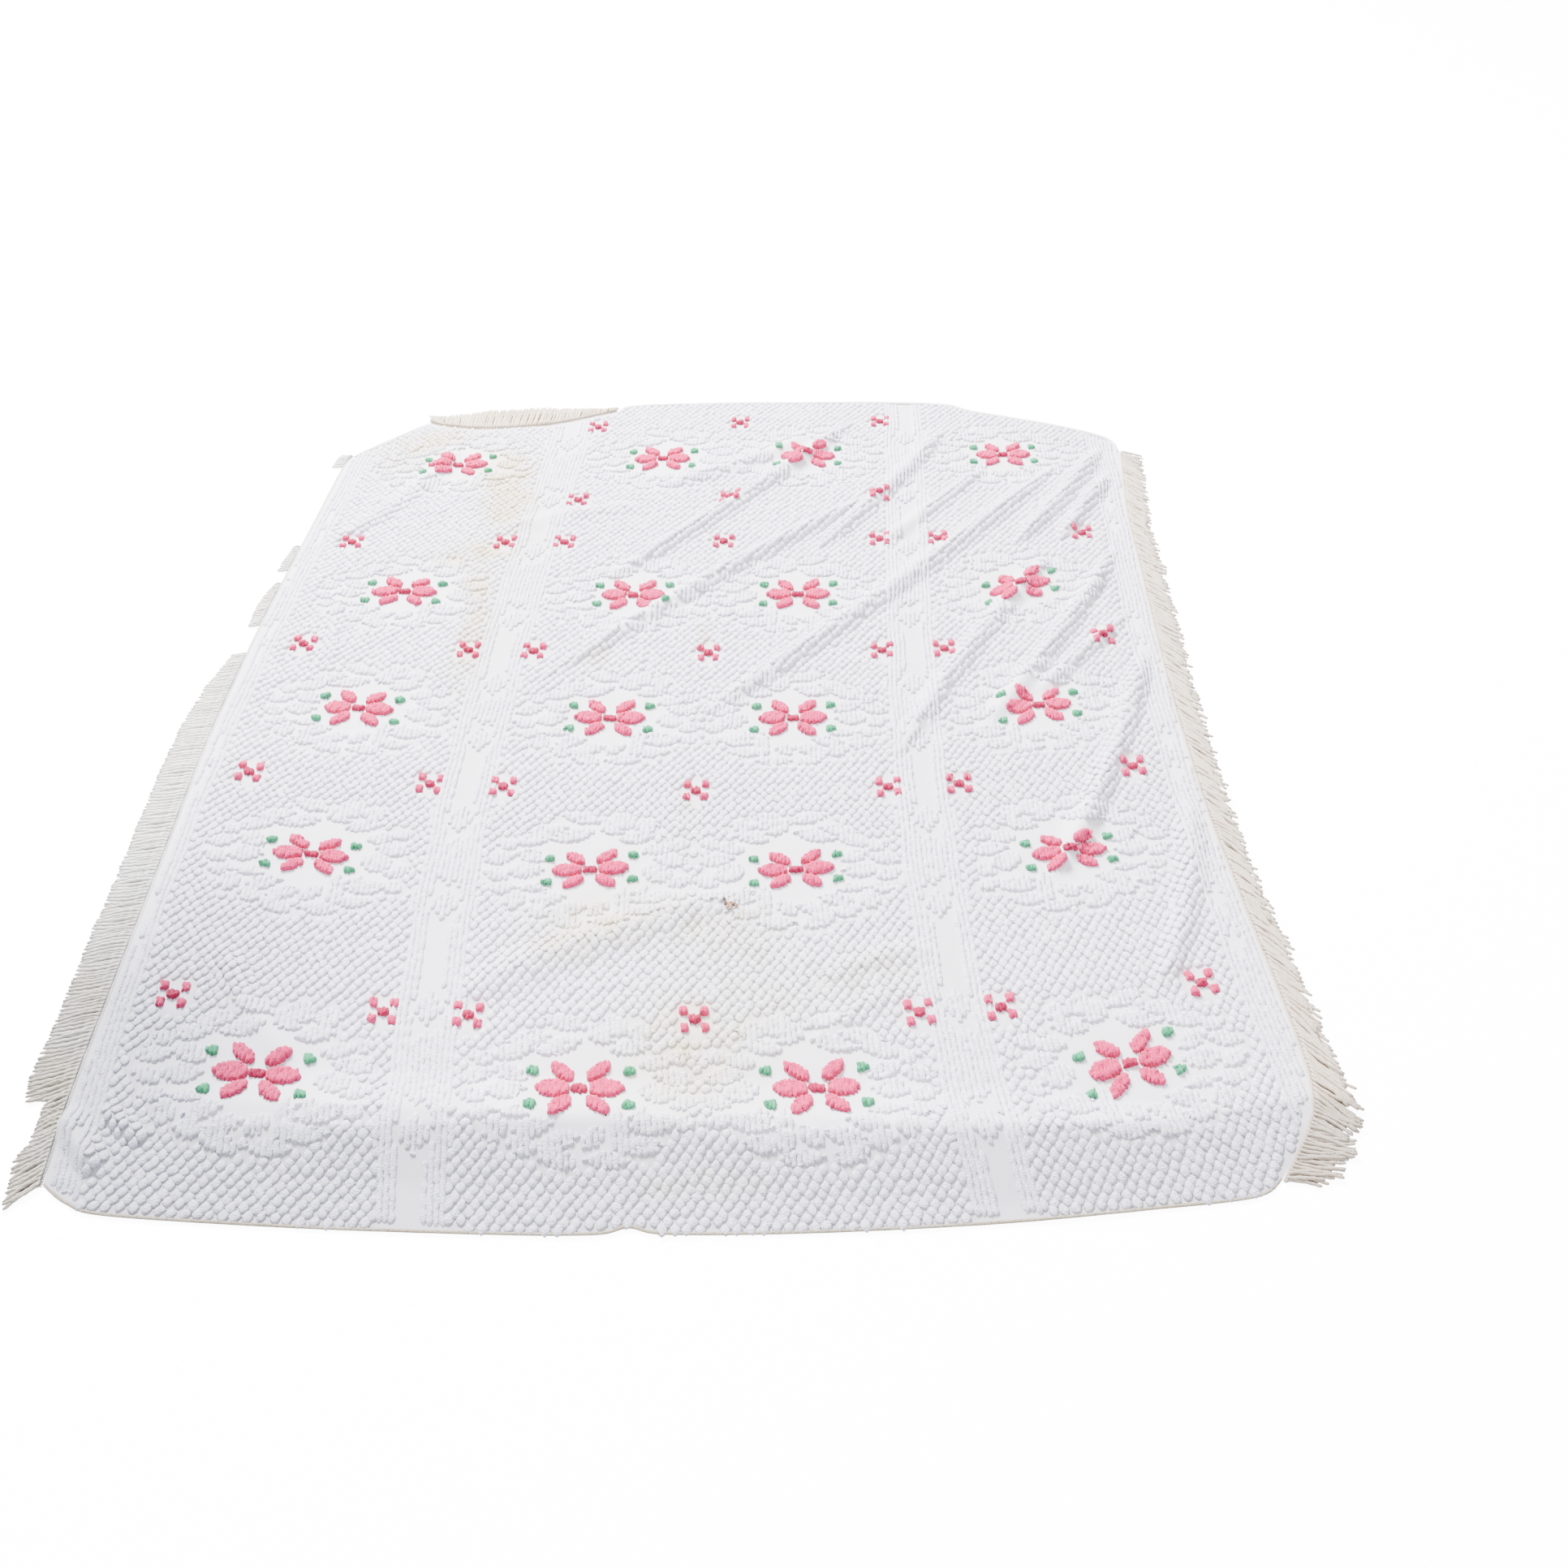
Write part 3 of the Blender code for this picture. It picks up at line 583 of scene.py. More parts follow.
def inside_cloth(x, y, margin):
    """True where x, y lies within the edge, and further than margin from it."""
    inside = np.zeros(x.shape, dtype=bool)
    nearest = np.full(x.shape, 9.0)
    line = OUTLINE[::4]
    for a, b in zip(line, np.roll(line, -1, axis=0)):
        crosses = (a[1] > y) != (b[1] > y)
        slope = (b[0] - a[0]) / (b[1] - a[1]) if a[1] != b[1] else 0.0
        inside ^= crosses & (x < a[0] + (y - a[1]) * slope)
        _, off_x, off_y = off_segment(x, y, a, b - a)
        nearest = np.minimum(nearest, np.hypot(off_x, off_y))
    return inside & (nearest > margin)


print("flowers:", len(LARGE_FLOWERS), "large and", len(SMALL_FLOWERS), "small")

# %% [markdown]
# ## Shapes that the tufts fill
# A needle only knows when to punch and when to rest, so a leaf or a petal is simply the stretch of each
# needle's line that falls within a shape. Three shapes do for all of them: a lens with pointed ends for the
# feathers, an oval for the petals, and an oval with full corners for leaves, dots and middles. Each is a
# row, in millimetres from the flower's middle.

# %% The shapes of a large flower and its feathers
FEATHERS = (
    # x, y, half long, half wide, turn
    (-83, -81, 36, 16, 14), (-114, -54, 38, 10, 4), (-153, -88, 22, 24, -12), (-102, -114, 28, 17, -10),
    (-37, -104, 38, 15, 14), (22, -101, 28, 15, 38), (70, -90, 17, 42, 0), (112, -114, 38, 14, 6),
    (136, -74, 46, 17, 12), (104, -55, 22, 15, -20), (-46, -135, 42, 17, -22), (45, -139, 40, 14, 0),
    (-32, 141, 42, 15, -12), (-98, 105, 40, 16, 12), (-134, 75, 44, 15, 12), (-42, 92, 44, 16, 18),
    (32, 118, 34, 18, -32), (62, 136, 34, 22, -12), (92, 90, 40, 15, 10), (112, 124, 26, 20, 6),
    (140, 58, 34, 15, 10), (172, 28, 40, 16, -8), (143, -8, 38, 22, -14), (192, -30, 30, 14, 18),
    (-130, 31, 36, 17, -14), (-140, -9, 38, 19, 6), (-196, 22, 34, 15, 14), (-200, -22, 30, 15, -16),
    (-182, -58, 26, 14, 10), (-184, 58, 24, 13, -16), (184, 70, 26, 14, 14), (188, -72, 24, 13, -10),
)
PETALS = (
    # x, y, half long, half wide, turn
    (49, 1, 30, 17, 0), (34, 38, 26, 12, 38),
)
MINT_LEAF = (89, 39, 10, 7.5, 0)
MINT_CLEAR = (89, 39, 21, 19, 0)
ROSE_MIDDLE = (0, 0, 14.5, 7, 0)
FEATHERED = (186, 126)        # no ground tufts within this oval
GROWN = (11, 9)               # nor this near to a feather, along and across it


def in_lens(dx, dy, shape):
    u, v = place_within(dx, dy, shape)
    return np.abs(v) < 1.04 - u * u


def in_oval(dx, dy, shape):
    u, v = place_within(dx, dy, shape)
    return u * u + v * v < 1


def in_block(dx, dy, shape):
    """An oval with full corners."""
    u, v = place_within(dx, dy, shape)
    return np.abs(u) ** 3.5 + np.abs(v) ** 3.5 < 1


def mirrored(dx, dy, shapes, test):
    """True in any of the shapes, or in its mirror image across either axis."""
    return np.any([test(np.abs(dx), np.abs(dy), shape) for shape in shapes], axis=0)


print("feathers round a flower:", len(FEATHERS))

# %% [markdown]
# ## From shapes to lines of tufts
# Along each needle's line the places within a shape are found and joined into stretches. Each stretch will
# be one fat chenille line. That is how the real cloth was tufted, and it gives the same stepped outlines.

# %% The stretches within a shape
def stretches(columns, rows, test):
    """Where the needles at columns punch: rows of x, start and end along the cloth."""
    found = []
    for x in columns:
        held = np.concatenate(([False], test(np.full(rows.shape, x), rows), [False]))
        turns = np.flatnonzero(held[1:] != held[:-1])
        found += [(x, rows[first], rows[last - 1]) for first, last in zip(turns[::2], turns[1::2])]
    return np.array(found).reshape(-1, 3)


def round_flower(half_width, half_length, test, pitch=NEEDLE, offset=0.5):
    """Stretches of one flower, in metres from its middle. test works in millimetres."""
    count = round(half_width / pitch)
    columns = (np.arange(-count, count + 1) + offset) * pitch
    rows = np.arange(-half_length, half_length, 0.0005)
    return stretches(columns, rows, lambda x, y: test(x * 1000, y * 1000))


DRAWN_IN = {-0.543: 0.83}     # how short the coloured parts of a row are along the needles
# how far askew those of some flowers are
TILTED = {(0.816, 0.383): 0.26, (0.816, -1.060): 0.16, (-0.219, -0.543): 0.08, (0.219, -0.543): 0.05}


def at_flowers(flower, middles, tilted=False):
    """The lines of one flower at every middle. Folds have pulled the colours of some askew or together."""
    copies = []
    for x, y in middles:
        shortness = DRAWN_IN.get(y, 1.0) if tilted else 1.0
        lines = flower * np.array((1, shortness, shortness))
        askew = lines[:, :1] * TILTED.get((x, y), 0.0) * tilted
        copies.append(lines + np.array((x, y, y)) + askew * np.array((0, 1, 1)))
    return np.concatenate(copies)


def at_both_hands(lines, middles):
    """As at_flowers, but the flowers right of the cloth's middle have the mirror image."""
    other = lines * np.array((-1, 1, 1))
    return np.concatenate((at_flowers(lines, [place for place in middles if place[0] < 0]),
                           at_flowers(other, [place for place in middles if place[0] > 0])))


FINE = NEEDLE * 0.62          # coloured yarn is punched more closely


def in_feathers(x, y):
    found = np.any([in_lens(x, y, leaf) for leaf in FEATHERS], axis=0)
    return found & ~mirrored(x, y, (MINT_CLEAR,), in_oval)


feather_lines = round_flower(0.24, 0.17, in_feathers)
petal_lines = round_flower(0.10, 0.07, lambda x, y: mirrored(x, y, PETALS, in_oval), FINE)
middle_lines = round_flower(0.02, 0.02, lambda x, y: in_block(x, y, ROSE_MIDDLE), FINE)
leaf_lines = round_flower(0.12, 0.07, lambda x, y: mirrored(x, y, (MINT_LEAF,), in_block), FINE)
print("lines of a large flower:", len(feather_lines), "in feathers,", len(petal_lines), "in petals,",
      len(middle_lines), "in its middle,", len(leaf_lines), "in leaves")

# %% [markdown]
# A small flower is four pink dots round a rose one.

# %% The shapes of a small flower
SMALL_DOT = (20.3, 18.4, 6, 7.8, 0)
SMALL_MIDDLE = (0, 0, 8, 8, 0)
SMALL_CLEAR = (40, 42)        # no ground tufts within this oval
dot_lines = round_flower(0.04, 0.04, lambda x, y: mirrored(x, y, (SMALL_DOT,), in_block), FINE)
small_middle_lines = round_flower(0.02, 0.02, lambda x, y: in_block(x, y, SMALL_MIDDLE), FINE, 0)
print("lines of a small flower:", len(dot_lines), "in dots,", len(small_middle_lines), "in its middle")

# %% [markdown]
# ## Bands and borders
# Two bands of close lines run the whole length, 0.515 m either side of the middle. Each parts round a plain
# gap between the rows of large flowers, with a diamond at both ends of the gap. Along the fringed edges a
# border of lines has lens-shaped gaps at the same places.

# %% The bands and borders
BAND = 0.515
GAP_ROWS = (-1.285, -0.775, -0.292, 0.150, 0.700, 1.255)
DIAMOND_OFF = 0.124           # from the middle of a gap to that of its diamond
DIAMOND = (0.031, 0.038)      # half its width and half its length
BAND_HALF = 0.022             # half the width of a band's middle part
STRIPE = 0.036                # width of the stripe on either side of it
BORDER_FROM = 1.088           # where the borders begin, either side of the middle
BORDER_BEYOND = (-0.006, 0.086)
WAIST_AT = 0.016              # the middle line of its lens-shaped gaps, beyond where it begins
WAIST_OFF, WAIST_HALF = 0.055, 0.042


def in_band(x, y):
    across = np.abs(np.abs(x) - BAND)
    from_gap = np.min([np.abs(y - row) for row in GAP_ROWS], axis=0)
    diamond = across / DIAMOND[0] + np.abs(from_gap - DIAMOND_OFF) / DIAMOND[1] < 1
    parted = BAND_HALF + 0.016 * np.clip(1 - np.abs(from_gap - DIAMOND_OFF) / 0.05, 0, 1)
    outer = (across > parted) & (across < parted + STRIPE)
    inner = (across < BAND_HALF) & (from_gap > DIAMOND_OFF + DIAMOND[1] + 0.012 + across)
    return outer | inner | diamond


def in_border(x, y):
    from_gap = np.min([np.abs(y - row) for row in GAP_ROWS], axis=0)
    waist = np.where(x > 0, 0.013, 0.006) * np.clip(1 - ((from_gap - WAIST_OFF) / WAIST_HALF) ** 2, 0, 1)
    beyond = np.abs(x) - BORDER_FROM
    within = (beyond > BORDER_BEYOND[0]) & (beyond < BORDER_BEYOND[1])
    return within & (np.abs(beyond - WAIST_AT) > waist)


band_columns = np.arange(-105, 106) * NEEDLE
PAST_END = 1.36               # from the middle to a little past either end of the cloth
long_rows = np.arange(-PAST_END, PAST_END, 0.001)
band_lines = stretches(band_columns, long_rows, in_band)
border_lines = stretches(band_columns, long_rows, in_border)
print("lines in bands:", len(band_lines), "and in borders:", len(border_lines))

# %% [markdown]
# ## The ground
# Everywhere else single tufts like popcorn stand on every second needle, each row shifted by one. They keep
# clear of the flowers, the feathers, the bands and the borders.

# %% The ground tufts
GROUND_ROW = 0.2336 / 17      # from one row of ground tufts to the next
GROUND_HALF = 1.078           # half the width of the ground
BAND_CLEAR = 0.064            # half the width that a band takes
rows_each_way = round(PAST_END / GROUND_ROW)
grid_x, grid_y = [], []
for row in range(-rows_each_way, rows_each_way + 1):
    columns = (np.arange(-53, 54) * 2 + row % 2) * NEEDLE
    grid_x.append(columns)
    grid_y.append(np.full(columns.shape, row * GROUND_ROW))
grid_x, grid_y = np.concatenate(grid_x), np.concatenate(grid_y)
keep = np.abs(grid_x) < GROUND_HALF
keep &= np.abs(np.abs(grid_x) - BAND) > BAND_CLEAR
for cx, cy in LARGE_FLOWERS:
    off_x, off_y = (grid_x - cx) * 1000 * (1 if cx < 0 else -1), (grid_y - cy) * 1000
    keep &= np.hypot(off_x / FEATHERED[0], off_y / FEATHERED[1]) > 1
    for x, y, half_long, half_wide, turn in FEATHERS:
        keep &= ~in_lens(off_x, off_y, (x, y, half_long + GROWN[0], half_wide + GROWN[1], turn))
for cx, cy in SMALL_FLOWERS:
    keep &= np.hypot((grid_x - cx) * 1000 / SMALL_CLEAR[0], (grid_y - cy) * 1000 / SMALL_CLEAR[1]) > 1
ground_tufts = np.column_stack((grid_x, grid_y))[keep]
print("ground tufts:", len(ground_tufts))

# %% [markdown]
# Little light reaches the sheeting between close tufts, so shade is painted into its colour there; the nearest
# tuft says where that is. The sheeting under the bands' stripes gets painted shade as well.

# %% Shade the sheeting between the ground tufts
SHADE_END, SHADE_FADE = 0.022, 0.008
BAND_SHADED, BAND_SHADE = 0.062, 0.55
tree = KDTree(len(ground_tufts))
for number, (tuft_x, tuft_y) in enumerate(np.column_stack(laid(*ground_tufts.T))):
    tree.insert((tuft_x, tuft_y, 0), number)
tree.balance()
flat_x = laid_out[:, 0] - moved(MOVED_ACROSS, laid_out[:, 0], laid_out[:, 1])
nearest_tuft = np.array([tree.find((place_x, place_y, 0))[2] for place_x, place_y in laid_out])
in_stripes = np.abs(np.abs(flat_x) - BAND) < BAND_SHADED
mark(sheet, "foot", np.maximum((SHADE_END - nearest_tuft) / SHADE_FADE, BAND_SHADE * in_stripes))
print("sheeting shaded:", round(float((nearest_tuft < SHADE_END).mean()), 2), "of it")

# %% [markdown]
# ## One tuft, and its copies
# A ground tuft is a fluffy mound of yarn. It starts as a coarse ball, the half that would be under the cloth
# is bisected away, its shoulders are filled out, it is squeezed towards a lozenge by its neighbours and its
# points are pushed about a little. Thousands are needed, so four are modelled for each end of the cloth, and
# a small geometry-nodes tree puts copies of one at every point of a mesh, turned and sized by two attributes
# of the point.

# %% The master tufts and the tree that copies them
CUT = 0.02                    # the ball is cut this far above its middle


def make_tuft(name, sides, rings, material, lumpy=0.0, lozenge=0.0):
    """A mound about one unit wide, long and high, its middle on the origin."""
    bpy.ops.object.select_all(action="DESELECT")
    bpy.ops.mesh.primitive_uv_sphere_add(segments=sides, ring_count=rings, radius=0.5)
    bpy.ops.object.mode_set(mode="EDIT")
    bpy.ops.mesh.bisect(plane_co=(0, 0, CUT), plane_no=(0, 0, 1), clear_inner=True)
    bpy.ops.object.mode_set(mode="OBJECT")
    tuft = bpy.context.object
    tuft.name = name
    places = coordinates(tuft)
    high = np.clip((places[:, 2] - CUT) / (0.5 - CUT), 0, 1)
    angle = np.arctan2(places[:, 1], places[:, 0])
    places[:, :2] *= ((1 + 0.26 * np.sin(np.pi * high)) * (1 + lozenge * np.cos(4 * angle)))[:, None]
    places[:, 2] = high ** 0.8 * 1.06 - 0.06
    places += CHANCE.normal(0, lumpy, places.shape) * (0.3 + high[:, None])
    set_coordinates(tuft, places)
    bpy.ops.object.shade_smooth()
    tuft.data.materials.append(material)
    return tuft


def copying_tree(master):
    tree = bpy.data.node_groups.new("copies of " + master.name, "GeometryNodeTree")
    tree.interface.new_socket("Geometry", in_out="INPUT", socket_type="NodeSocketGeometry")
    tree.interface.new_socket("Geometry", in_out="OUTPUT", socket_type="NodeSocketGeometry")
    points, made = tree.nodes.new("NodeGroupInput"), tree.nodes.new("NodeGroupOutput")
    source = tree.nodes.new("GeometryNodeObjectInfo")
    source.inputs["Object"].default_value = master
    turned = tree.nodes.new("FunctionNodeEulerToRotation")
    copies = tree.nodes.new("GeometryNodeInstanceOnPoints")
    real = tree.nodes.new("GeometryNodeRealizeInstances")
    for label, socket in (("turn", turned.inputs[0]), ("size", copies.inputs["Scale"])):
        read = tree.nodes.new("GeometryNodeInputNamedAttribute")
        read.data_type = "FLOAT_VECTOR"
        read.inputs["Name"].default_value = label
        tree.links.new(read.outputs["Attribute"], socket)
    tree.links.new(points.outputs[0], copies.inputs["Points"])
    tree.links.new(source.outputs["Geometry"], copies.inputs["Instance"])
    tree.links.new(turned.outputs[0], copies.inputs["Rotation"])
    tree.links.new(copies.outputs["Instances"], real.inputs["Geometry"])
    tree.links.new(real.outputs["Geometry"], made.inputs[0])
    return tree


def copy_on_points(name, master, places, turns, sizes):
    """One mesh: a copy of master at each place, turned and sized."""
    mesh = bpy.data.meshes.new(name)
    mesh.vertices.add(len(places))
    mesh.vertices.foreach_set("co", np.ascontiguousarray(places).ravel())
    for label, values in (("turn", turns), ("size", sizes)):
        layer = mesh.attributes.new(label, "FLOAT_VECTOR", "POINT")
        layer.data.foreach_set("vector", np.ascontiguousarray(values).ravel())
    piece = new_piece(name, mesh)
    piece.modifiers.new("copies", "NODES").node_group = copying_tree(master)
    select_only(piece)
    bpy.ops.object.modifier_apply(modifier="copies")
    for label in ("turn", "size"):
        layer = piece.data.attributes.get(label)
        if layer:
            piece.data.attributes.remove(layer)
    return piece


def joined(name, pieces):
    """The pieces as one. A single piece is only renamed."""
    select_only(pieces[0])
    for piece in pieces[1:]:
        piece.select_set(True)
    if len(pieces) > 1:
        bpy.ops.object.join()
    bpy.context.object.name = name
    return bpy.context.object


SNAG = (0.076, -0.637)        # where the ground tufts are torn out
SNAG_RADIUS = 0.011
EDGE_MARGIN = 0.008           # no tuft stands nearer to the edge than this
SUNK = 0.0005                 # how deep a tuft's foot lies in the cloth
PILE = 0.0038                 # the height over which the shade painted at a tuft's foot fades out
WANDER = 0.0016
SWAY = 0.20                   # how far tufts are turned, in radians


def strayed(x, y, stray):
    """Where a place of the laid cloth really is: needles wander slowly, and each tuft by itself."""
    wander_x = WANDER * np.sin(23 * y + 2 * np.sin(11 * x))
    wander_y = WANDER * np.sin(27 * x + 2 * np.sin(13 * y))
    return x + wander_x + CHANCE.normal(0, stray, x.shape), y + wander_y + CHANCE.normal(0, stray, y.shape)


def tufts_on_cloth(name, masters, pattern, size):
    """Copies of the masters standing on the cloth at places of the pattern. size is in millimetres."""
    x, y = strayed(*laid(pattern[:, 0], pattern[:, 1]), 0.0012)
    kept = inside_cloth(x, y, EDGE_MARGIN) & (np.hypot(x - SNAG[0], y - SNAG[1]) > SNAG_RADIUS)
    x, y = x[kept], y[kept]
    step = 0.002
    rise_x = (cloth_height(x + step, y) - cloth_height(x - step, y)) / (2 * step)
    rise_y = (cloth_height(x, y + step) - cloth_height(x, y - step)) / (2 * step)
    turns = np.column_stack((np.arctan(rise_y), -np.arctan(rise_x), CHANCE.normal(0, SWAY, len(x))))
    places = np.column_stack((x + SHIFT[0], y + SHIFT[1], cloth_height(x, y) - SUNK))
    sizes = np.array(size) / 1000 * np.clip(CHANCE.normal(1, 0.08, (len(x), 3)), 0.82, 1.15)
    kinds = CHANCE.integers(0, len(masters), len(x))
    parts = []
    for kind, master in enumerate(masters):
        own = kinds == kind
        parts.append(copy_on_points(f"{name}_{kind}", master, places[own], turns[own], sizes[own]))
    piece = joined(name, parts)
    settle(piece)
    mark_stains_and_shade(piece, pile=PILE)
    print(name + ":", len(x), "tufts,", triangles(piece), "triangles")
    return piece


# %% [markdown]
# ## Drawing a profile along lines
# Lines of tufting, hems and braids are all one profile drawn along many lines. In Blender that is a curve
# whose bevel object is a second curve. Each point of a line has a girth of its own, so a line can swell,
# shrink and close to a point at its ends. The curve is then made into a mesh.

# %% Drawing a profile along lines
def make_profile(name, places, closed):
    outline = bpy.data.curves.new(name, "CURVE")
    outline.dimensions = "2D"
    path = outline.splines.new("POLY")
    path.points.add(len(places) - 1)
    for point, (across, up) in zip(path.points, places):
        point.co = (across, up, 0, 1)
    path.use_cyclic_u = closed
    return new_piece(name, outline)


def make_oval(name, half_width, half_height, sides):
    angles = np.arange(sides) * math.tau / sides
    places = [(half_width * math.cos(a), half_height * math.sin(a)) for a in angles]
    return make_profile(name + "_section", places, True)


def draw_lines(name, lines, profile, material, capped=False):
    """lines is a list of arrays with rows of x, y, z and girth. profile is a curve object, used up."""
    curve = bpy.data.curves.new(name, "CURVE")
    curve.dimensions = "3D"
    curve.twist_mode = "Z_UP"
    for line in lines:
        path = curve.splines.new("POLY")
        path.points.add(len(line) - 1)
        spots = np.column_stack((line[:, :2] + SHIFT, line[:, 2], np.ones(len(line))))
        path.points.foreach_set("co", spots.ravel())
        path.points.foreach_set("radius", np.ascontiguousarray(line[:, 3]))
    curve.bevel_mode = "OBJECT"
    curve.bevel_object = profile
    curve.use_fill_caps = capped
    select_only(new_piece(name, curve))
    bpy.ops.object.convert(target="MESH")
    piece = bpy.context.object
    discard([profile])
    face_outward(merged=0.00002)
    piece.data.materials.clear()
    piece.data.materials.append(MATERIALS[material])
    bpy.ops.object.shade_smooth()
    print(name + ":", len(lines), "lines,", triangles(piece), "triangles")
    return piece


# %% [markdown]
# ## Fat chenille lines
# Where needles punch without a break, the cut yarn springs up into one soft line like a caterpillar. It is
# rounded off at both ends like a ball, and its girth changes a little from place to place.

# %% A chenille line
RING = 0.0062                 # spacing of the rings along a line
ROUNDED = 0.0056              # length of its rounded end
SPREAD = 0.0028               # the pile stands out past its last stitch
END_SHARES = np.array((0.0, 0.12, 0.45))


def pile_profile(name, width, height):
    """Five points of an oval that bulges a little over its foot."""
    angles = np.radians((-20, 35, 90, 145, 200))
    places = [(width / 2 * math.cos(a), height * (0.28 + 0.72 * math.sin(a))) for a in angles]
    return make_profile(name, places, False)


def rings_along(start, end):
    """Places along a line, and the share of its girth there."""
    rounded = min(ROUNDED, (end - start) / 2)
    middle = end - start - 2 * rounded
    inner = [(start + end) / 2]
    if middle > 0.001:
        inner = np.linspace(start + rounded, end - rounded, max(2, 1 + round(middle / RING)))
    places = np.concatenate((start + END_SHARES * rounded, inner, end - END_SHARES[::-1] * rounded))
    near = np.clip(np.minimum(places - start, end - places) / rounded, 0, 1)
    return places, np.sqrt(1 - (1 - near) ** 2)


def chenille_lines(name, stretches_made, width, height, material, uneven=0.15):
    """One mesh of fat lines on the cloth. width and height are in millimetres."""
    along, girths, across = [], [], []
    for x, start, end in stretches_made:
        places, girth = rings_along(start - SPREAD, end + SPREAD)
        along.append(places)
        girths.append(girth)
        across.append(np.full(places.shape, x))
    ends = np.cumsum([len(places) for places in along])[:-1]
    x, y = strayed(*laid(np.concatenate(across), np.concatenate(along)), 0.0008)
    girth = np.concatenate(girths)
    girth *= np.clip(CHANCE.normal(1, uneven, len(girth)), 1 - 2 * uneven, 1 + 1.6 * uneven)
    inside = inside_cloth(x, y, EDGE_MARGIN)
    rows = np.column_stack((x, y, cloth_height(x, y) - SUNK, girth))
    lines = []
    for part, held in zip(np.split(rows, ends), np.split(inside, ends)):
        turns = np.flatnonzero(np.diff(np.concatenate(([False], held, [False])).astype(int)))
        for first, last in zip(turns[::2], turns[1::2]):
            if last - first > 2:
                line = part[first:last].copy()
                line[[0, -1], 3] = 0.0
                lines.append(line)
    profile = pile_profile(name + "_profile", width / 1000, height / 1000)
    piece = draw_lines(name, lines, profile, material)
    settle(piece)
    mark_stains_and_shade(piece, pile=PILE)
    return piece


# %% [markdown]
# ## White tufting
# The ground's popcorns nearly touch, so that only a lattice of dark creases shows between them, darkened
# further by shade painted at their feet. In feathers, bands and borders the lines lie side by side with a
# narrow crease between.

# %% Ground, feathers, bands and borders
HALFWAY = -0.3                # where the larger pieces are divided
POPCORNS = {"head": (5, (17.3, 19.9, 5.3)), "foot": (4, (19.2, 22.0, 5.6))}


def at_end(end_name, rows):
    """Those of the rows that lie in one end of the cloth. Their second number is their y."""
    return rows[(rows[:, 1] < HALFWAY) == (end_name == "head")]


white_pieces = []
for end_name, (rings, size) in POPCORNS.items():
    popcorns = [make_tuft(f"popcorn_{k}", 8, rings, MATERIALS["white chenille"], 0.050, 0.05)
                for k in range(4)]
    tufts = tufts_on_cloth("ground_tufts_" + end_name, popcorns, at_end(end_name, ground_tufts), size)
    white_pieces.append(tufts)
    discard(popcorns)
feathers = at_both_hands(feather_lines, LARGE_FLOWERS)
for end_name in POPCORNS:
    white_pieces.append(chenille_lines("feathers_" + end_name, at_end(end_name, feathers), 12.6, 5.8,
                                       "white chenille", uneven=0.19))
white_pieces.append(chenille_lines("bands", band_lines, 11.8, 5.2, "white chenille"))
white_pieces.append(chenille_lines("borders", border_lines, 11.8, 4.6, "white chenille"))
print("white tufting:", sum(triangles(piece) for piece in white_pieces), "triangles")

# %% [markdown]
# ## Flowers
# The coloured yarn stands prouder than the white, and its close lines press into one lumpy pile.

# %% Petals, middles and leaves
pink_lines = np.concatenate((at_flowers(petal_lines, LARGE_FLOWERS, True),
                             at_flowers(dot_lines, SMALL_FLOWERS)))
rose_lines = np.concatenate((at_flowers(middle_lines, LARGE_FLOWERS, True),
                             at_flowers(small_middle_lines, SMALL_FLOWERS)))
leaves = at_flowers(leaf_lines, LARGE_FLOWERS, True)
pink_pieces = [chenille_lines("pink_petals", pink_lines, 10.6, 10.2, "pink chenille")]
rose_pieces = [chenille_lines("rose_middles", rose_lines, 10.6, 10.6, "rose chenille")]
mint_pieces = [chenille_lines("mint_leaves", leaves, 10.6, 10.2, "mint chenille")]

# %% [markdown]
# ## A snag
# Midway across and towards the head some tufts are torn out. A few brown and tan ends of thread are left
# there in a tangle.

# %% The torn threads
THREAD_GIRTHS = np.array((0.0, 0.8, 1.0, 1.1, 0.9, 1.0, 1.0, 0.8, 0.0))
THREAD_STEP = 0.0017


def torn_threads(name, material, starts):
    """Ends of thread that wander from their starts, which are measured from the snag's middle."""
    count = len(THREAD_GIRTHS)
    lines = []
    for start_x, start_y in starts:
        heading = CHANCE.uniform(0, math.tau) + np.cumsum(CHANCE.normal(0, 1.2, count))
        x = SNAG[0] + start_x + np.cumsum(np.cos(heading)) * THREAD_STEP
        y = SNAG[1] + start_y + np.cumsum(np.sin(heading)) * THREAD_STEP
        heights = cloth_height(x, y) + CHANCE.uniform(0.007, 0.0105, count)
        lines.append(np.column_stack((x, y, heights, THREAD_GIRTHS)))
    piece = draw_lines(name, lines, make_oval(name, 0.0029, 0.0022, 6), material)
    mark_stains_and_shade(piece)
    return piece


BROWN_STARTS = ((-0.013, 0.010), (-0.010, 0.006), (-0.007, 0.002), (0.007, -0.007))
TAN_STARTS = ((-0.001, -0.003), (0.003, -0.008), (0.006, -0.001),
              (0.001, -0.007), (0.009, -0.005), (0.004, 0.002))
snag_pieces = [torn_threads("snag_brown", "brown thread", BROWN_STARTS),
               torn_threads("snag_tan", "tan thread", TAN_STARTS)]

# %% [markdown]
# ## The hem and the rolled edges
# At the head the cloth is turned under and stitched, which leaves only a narrow rounded edge, a little
# soiled. Along the foot the edge is rolled under itself. Both are a flat oval drawn along the edge.

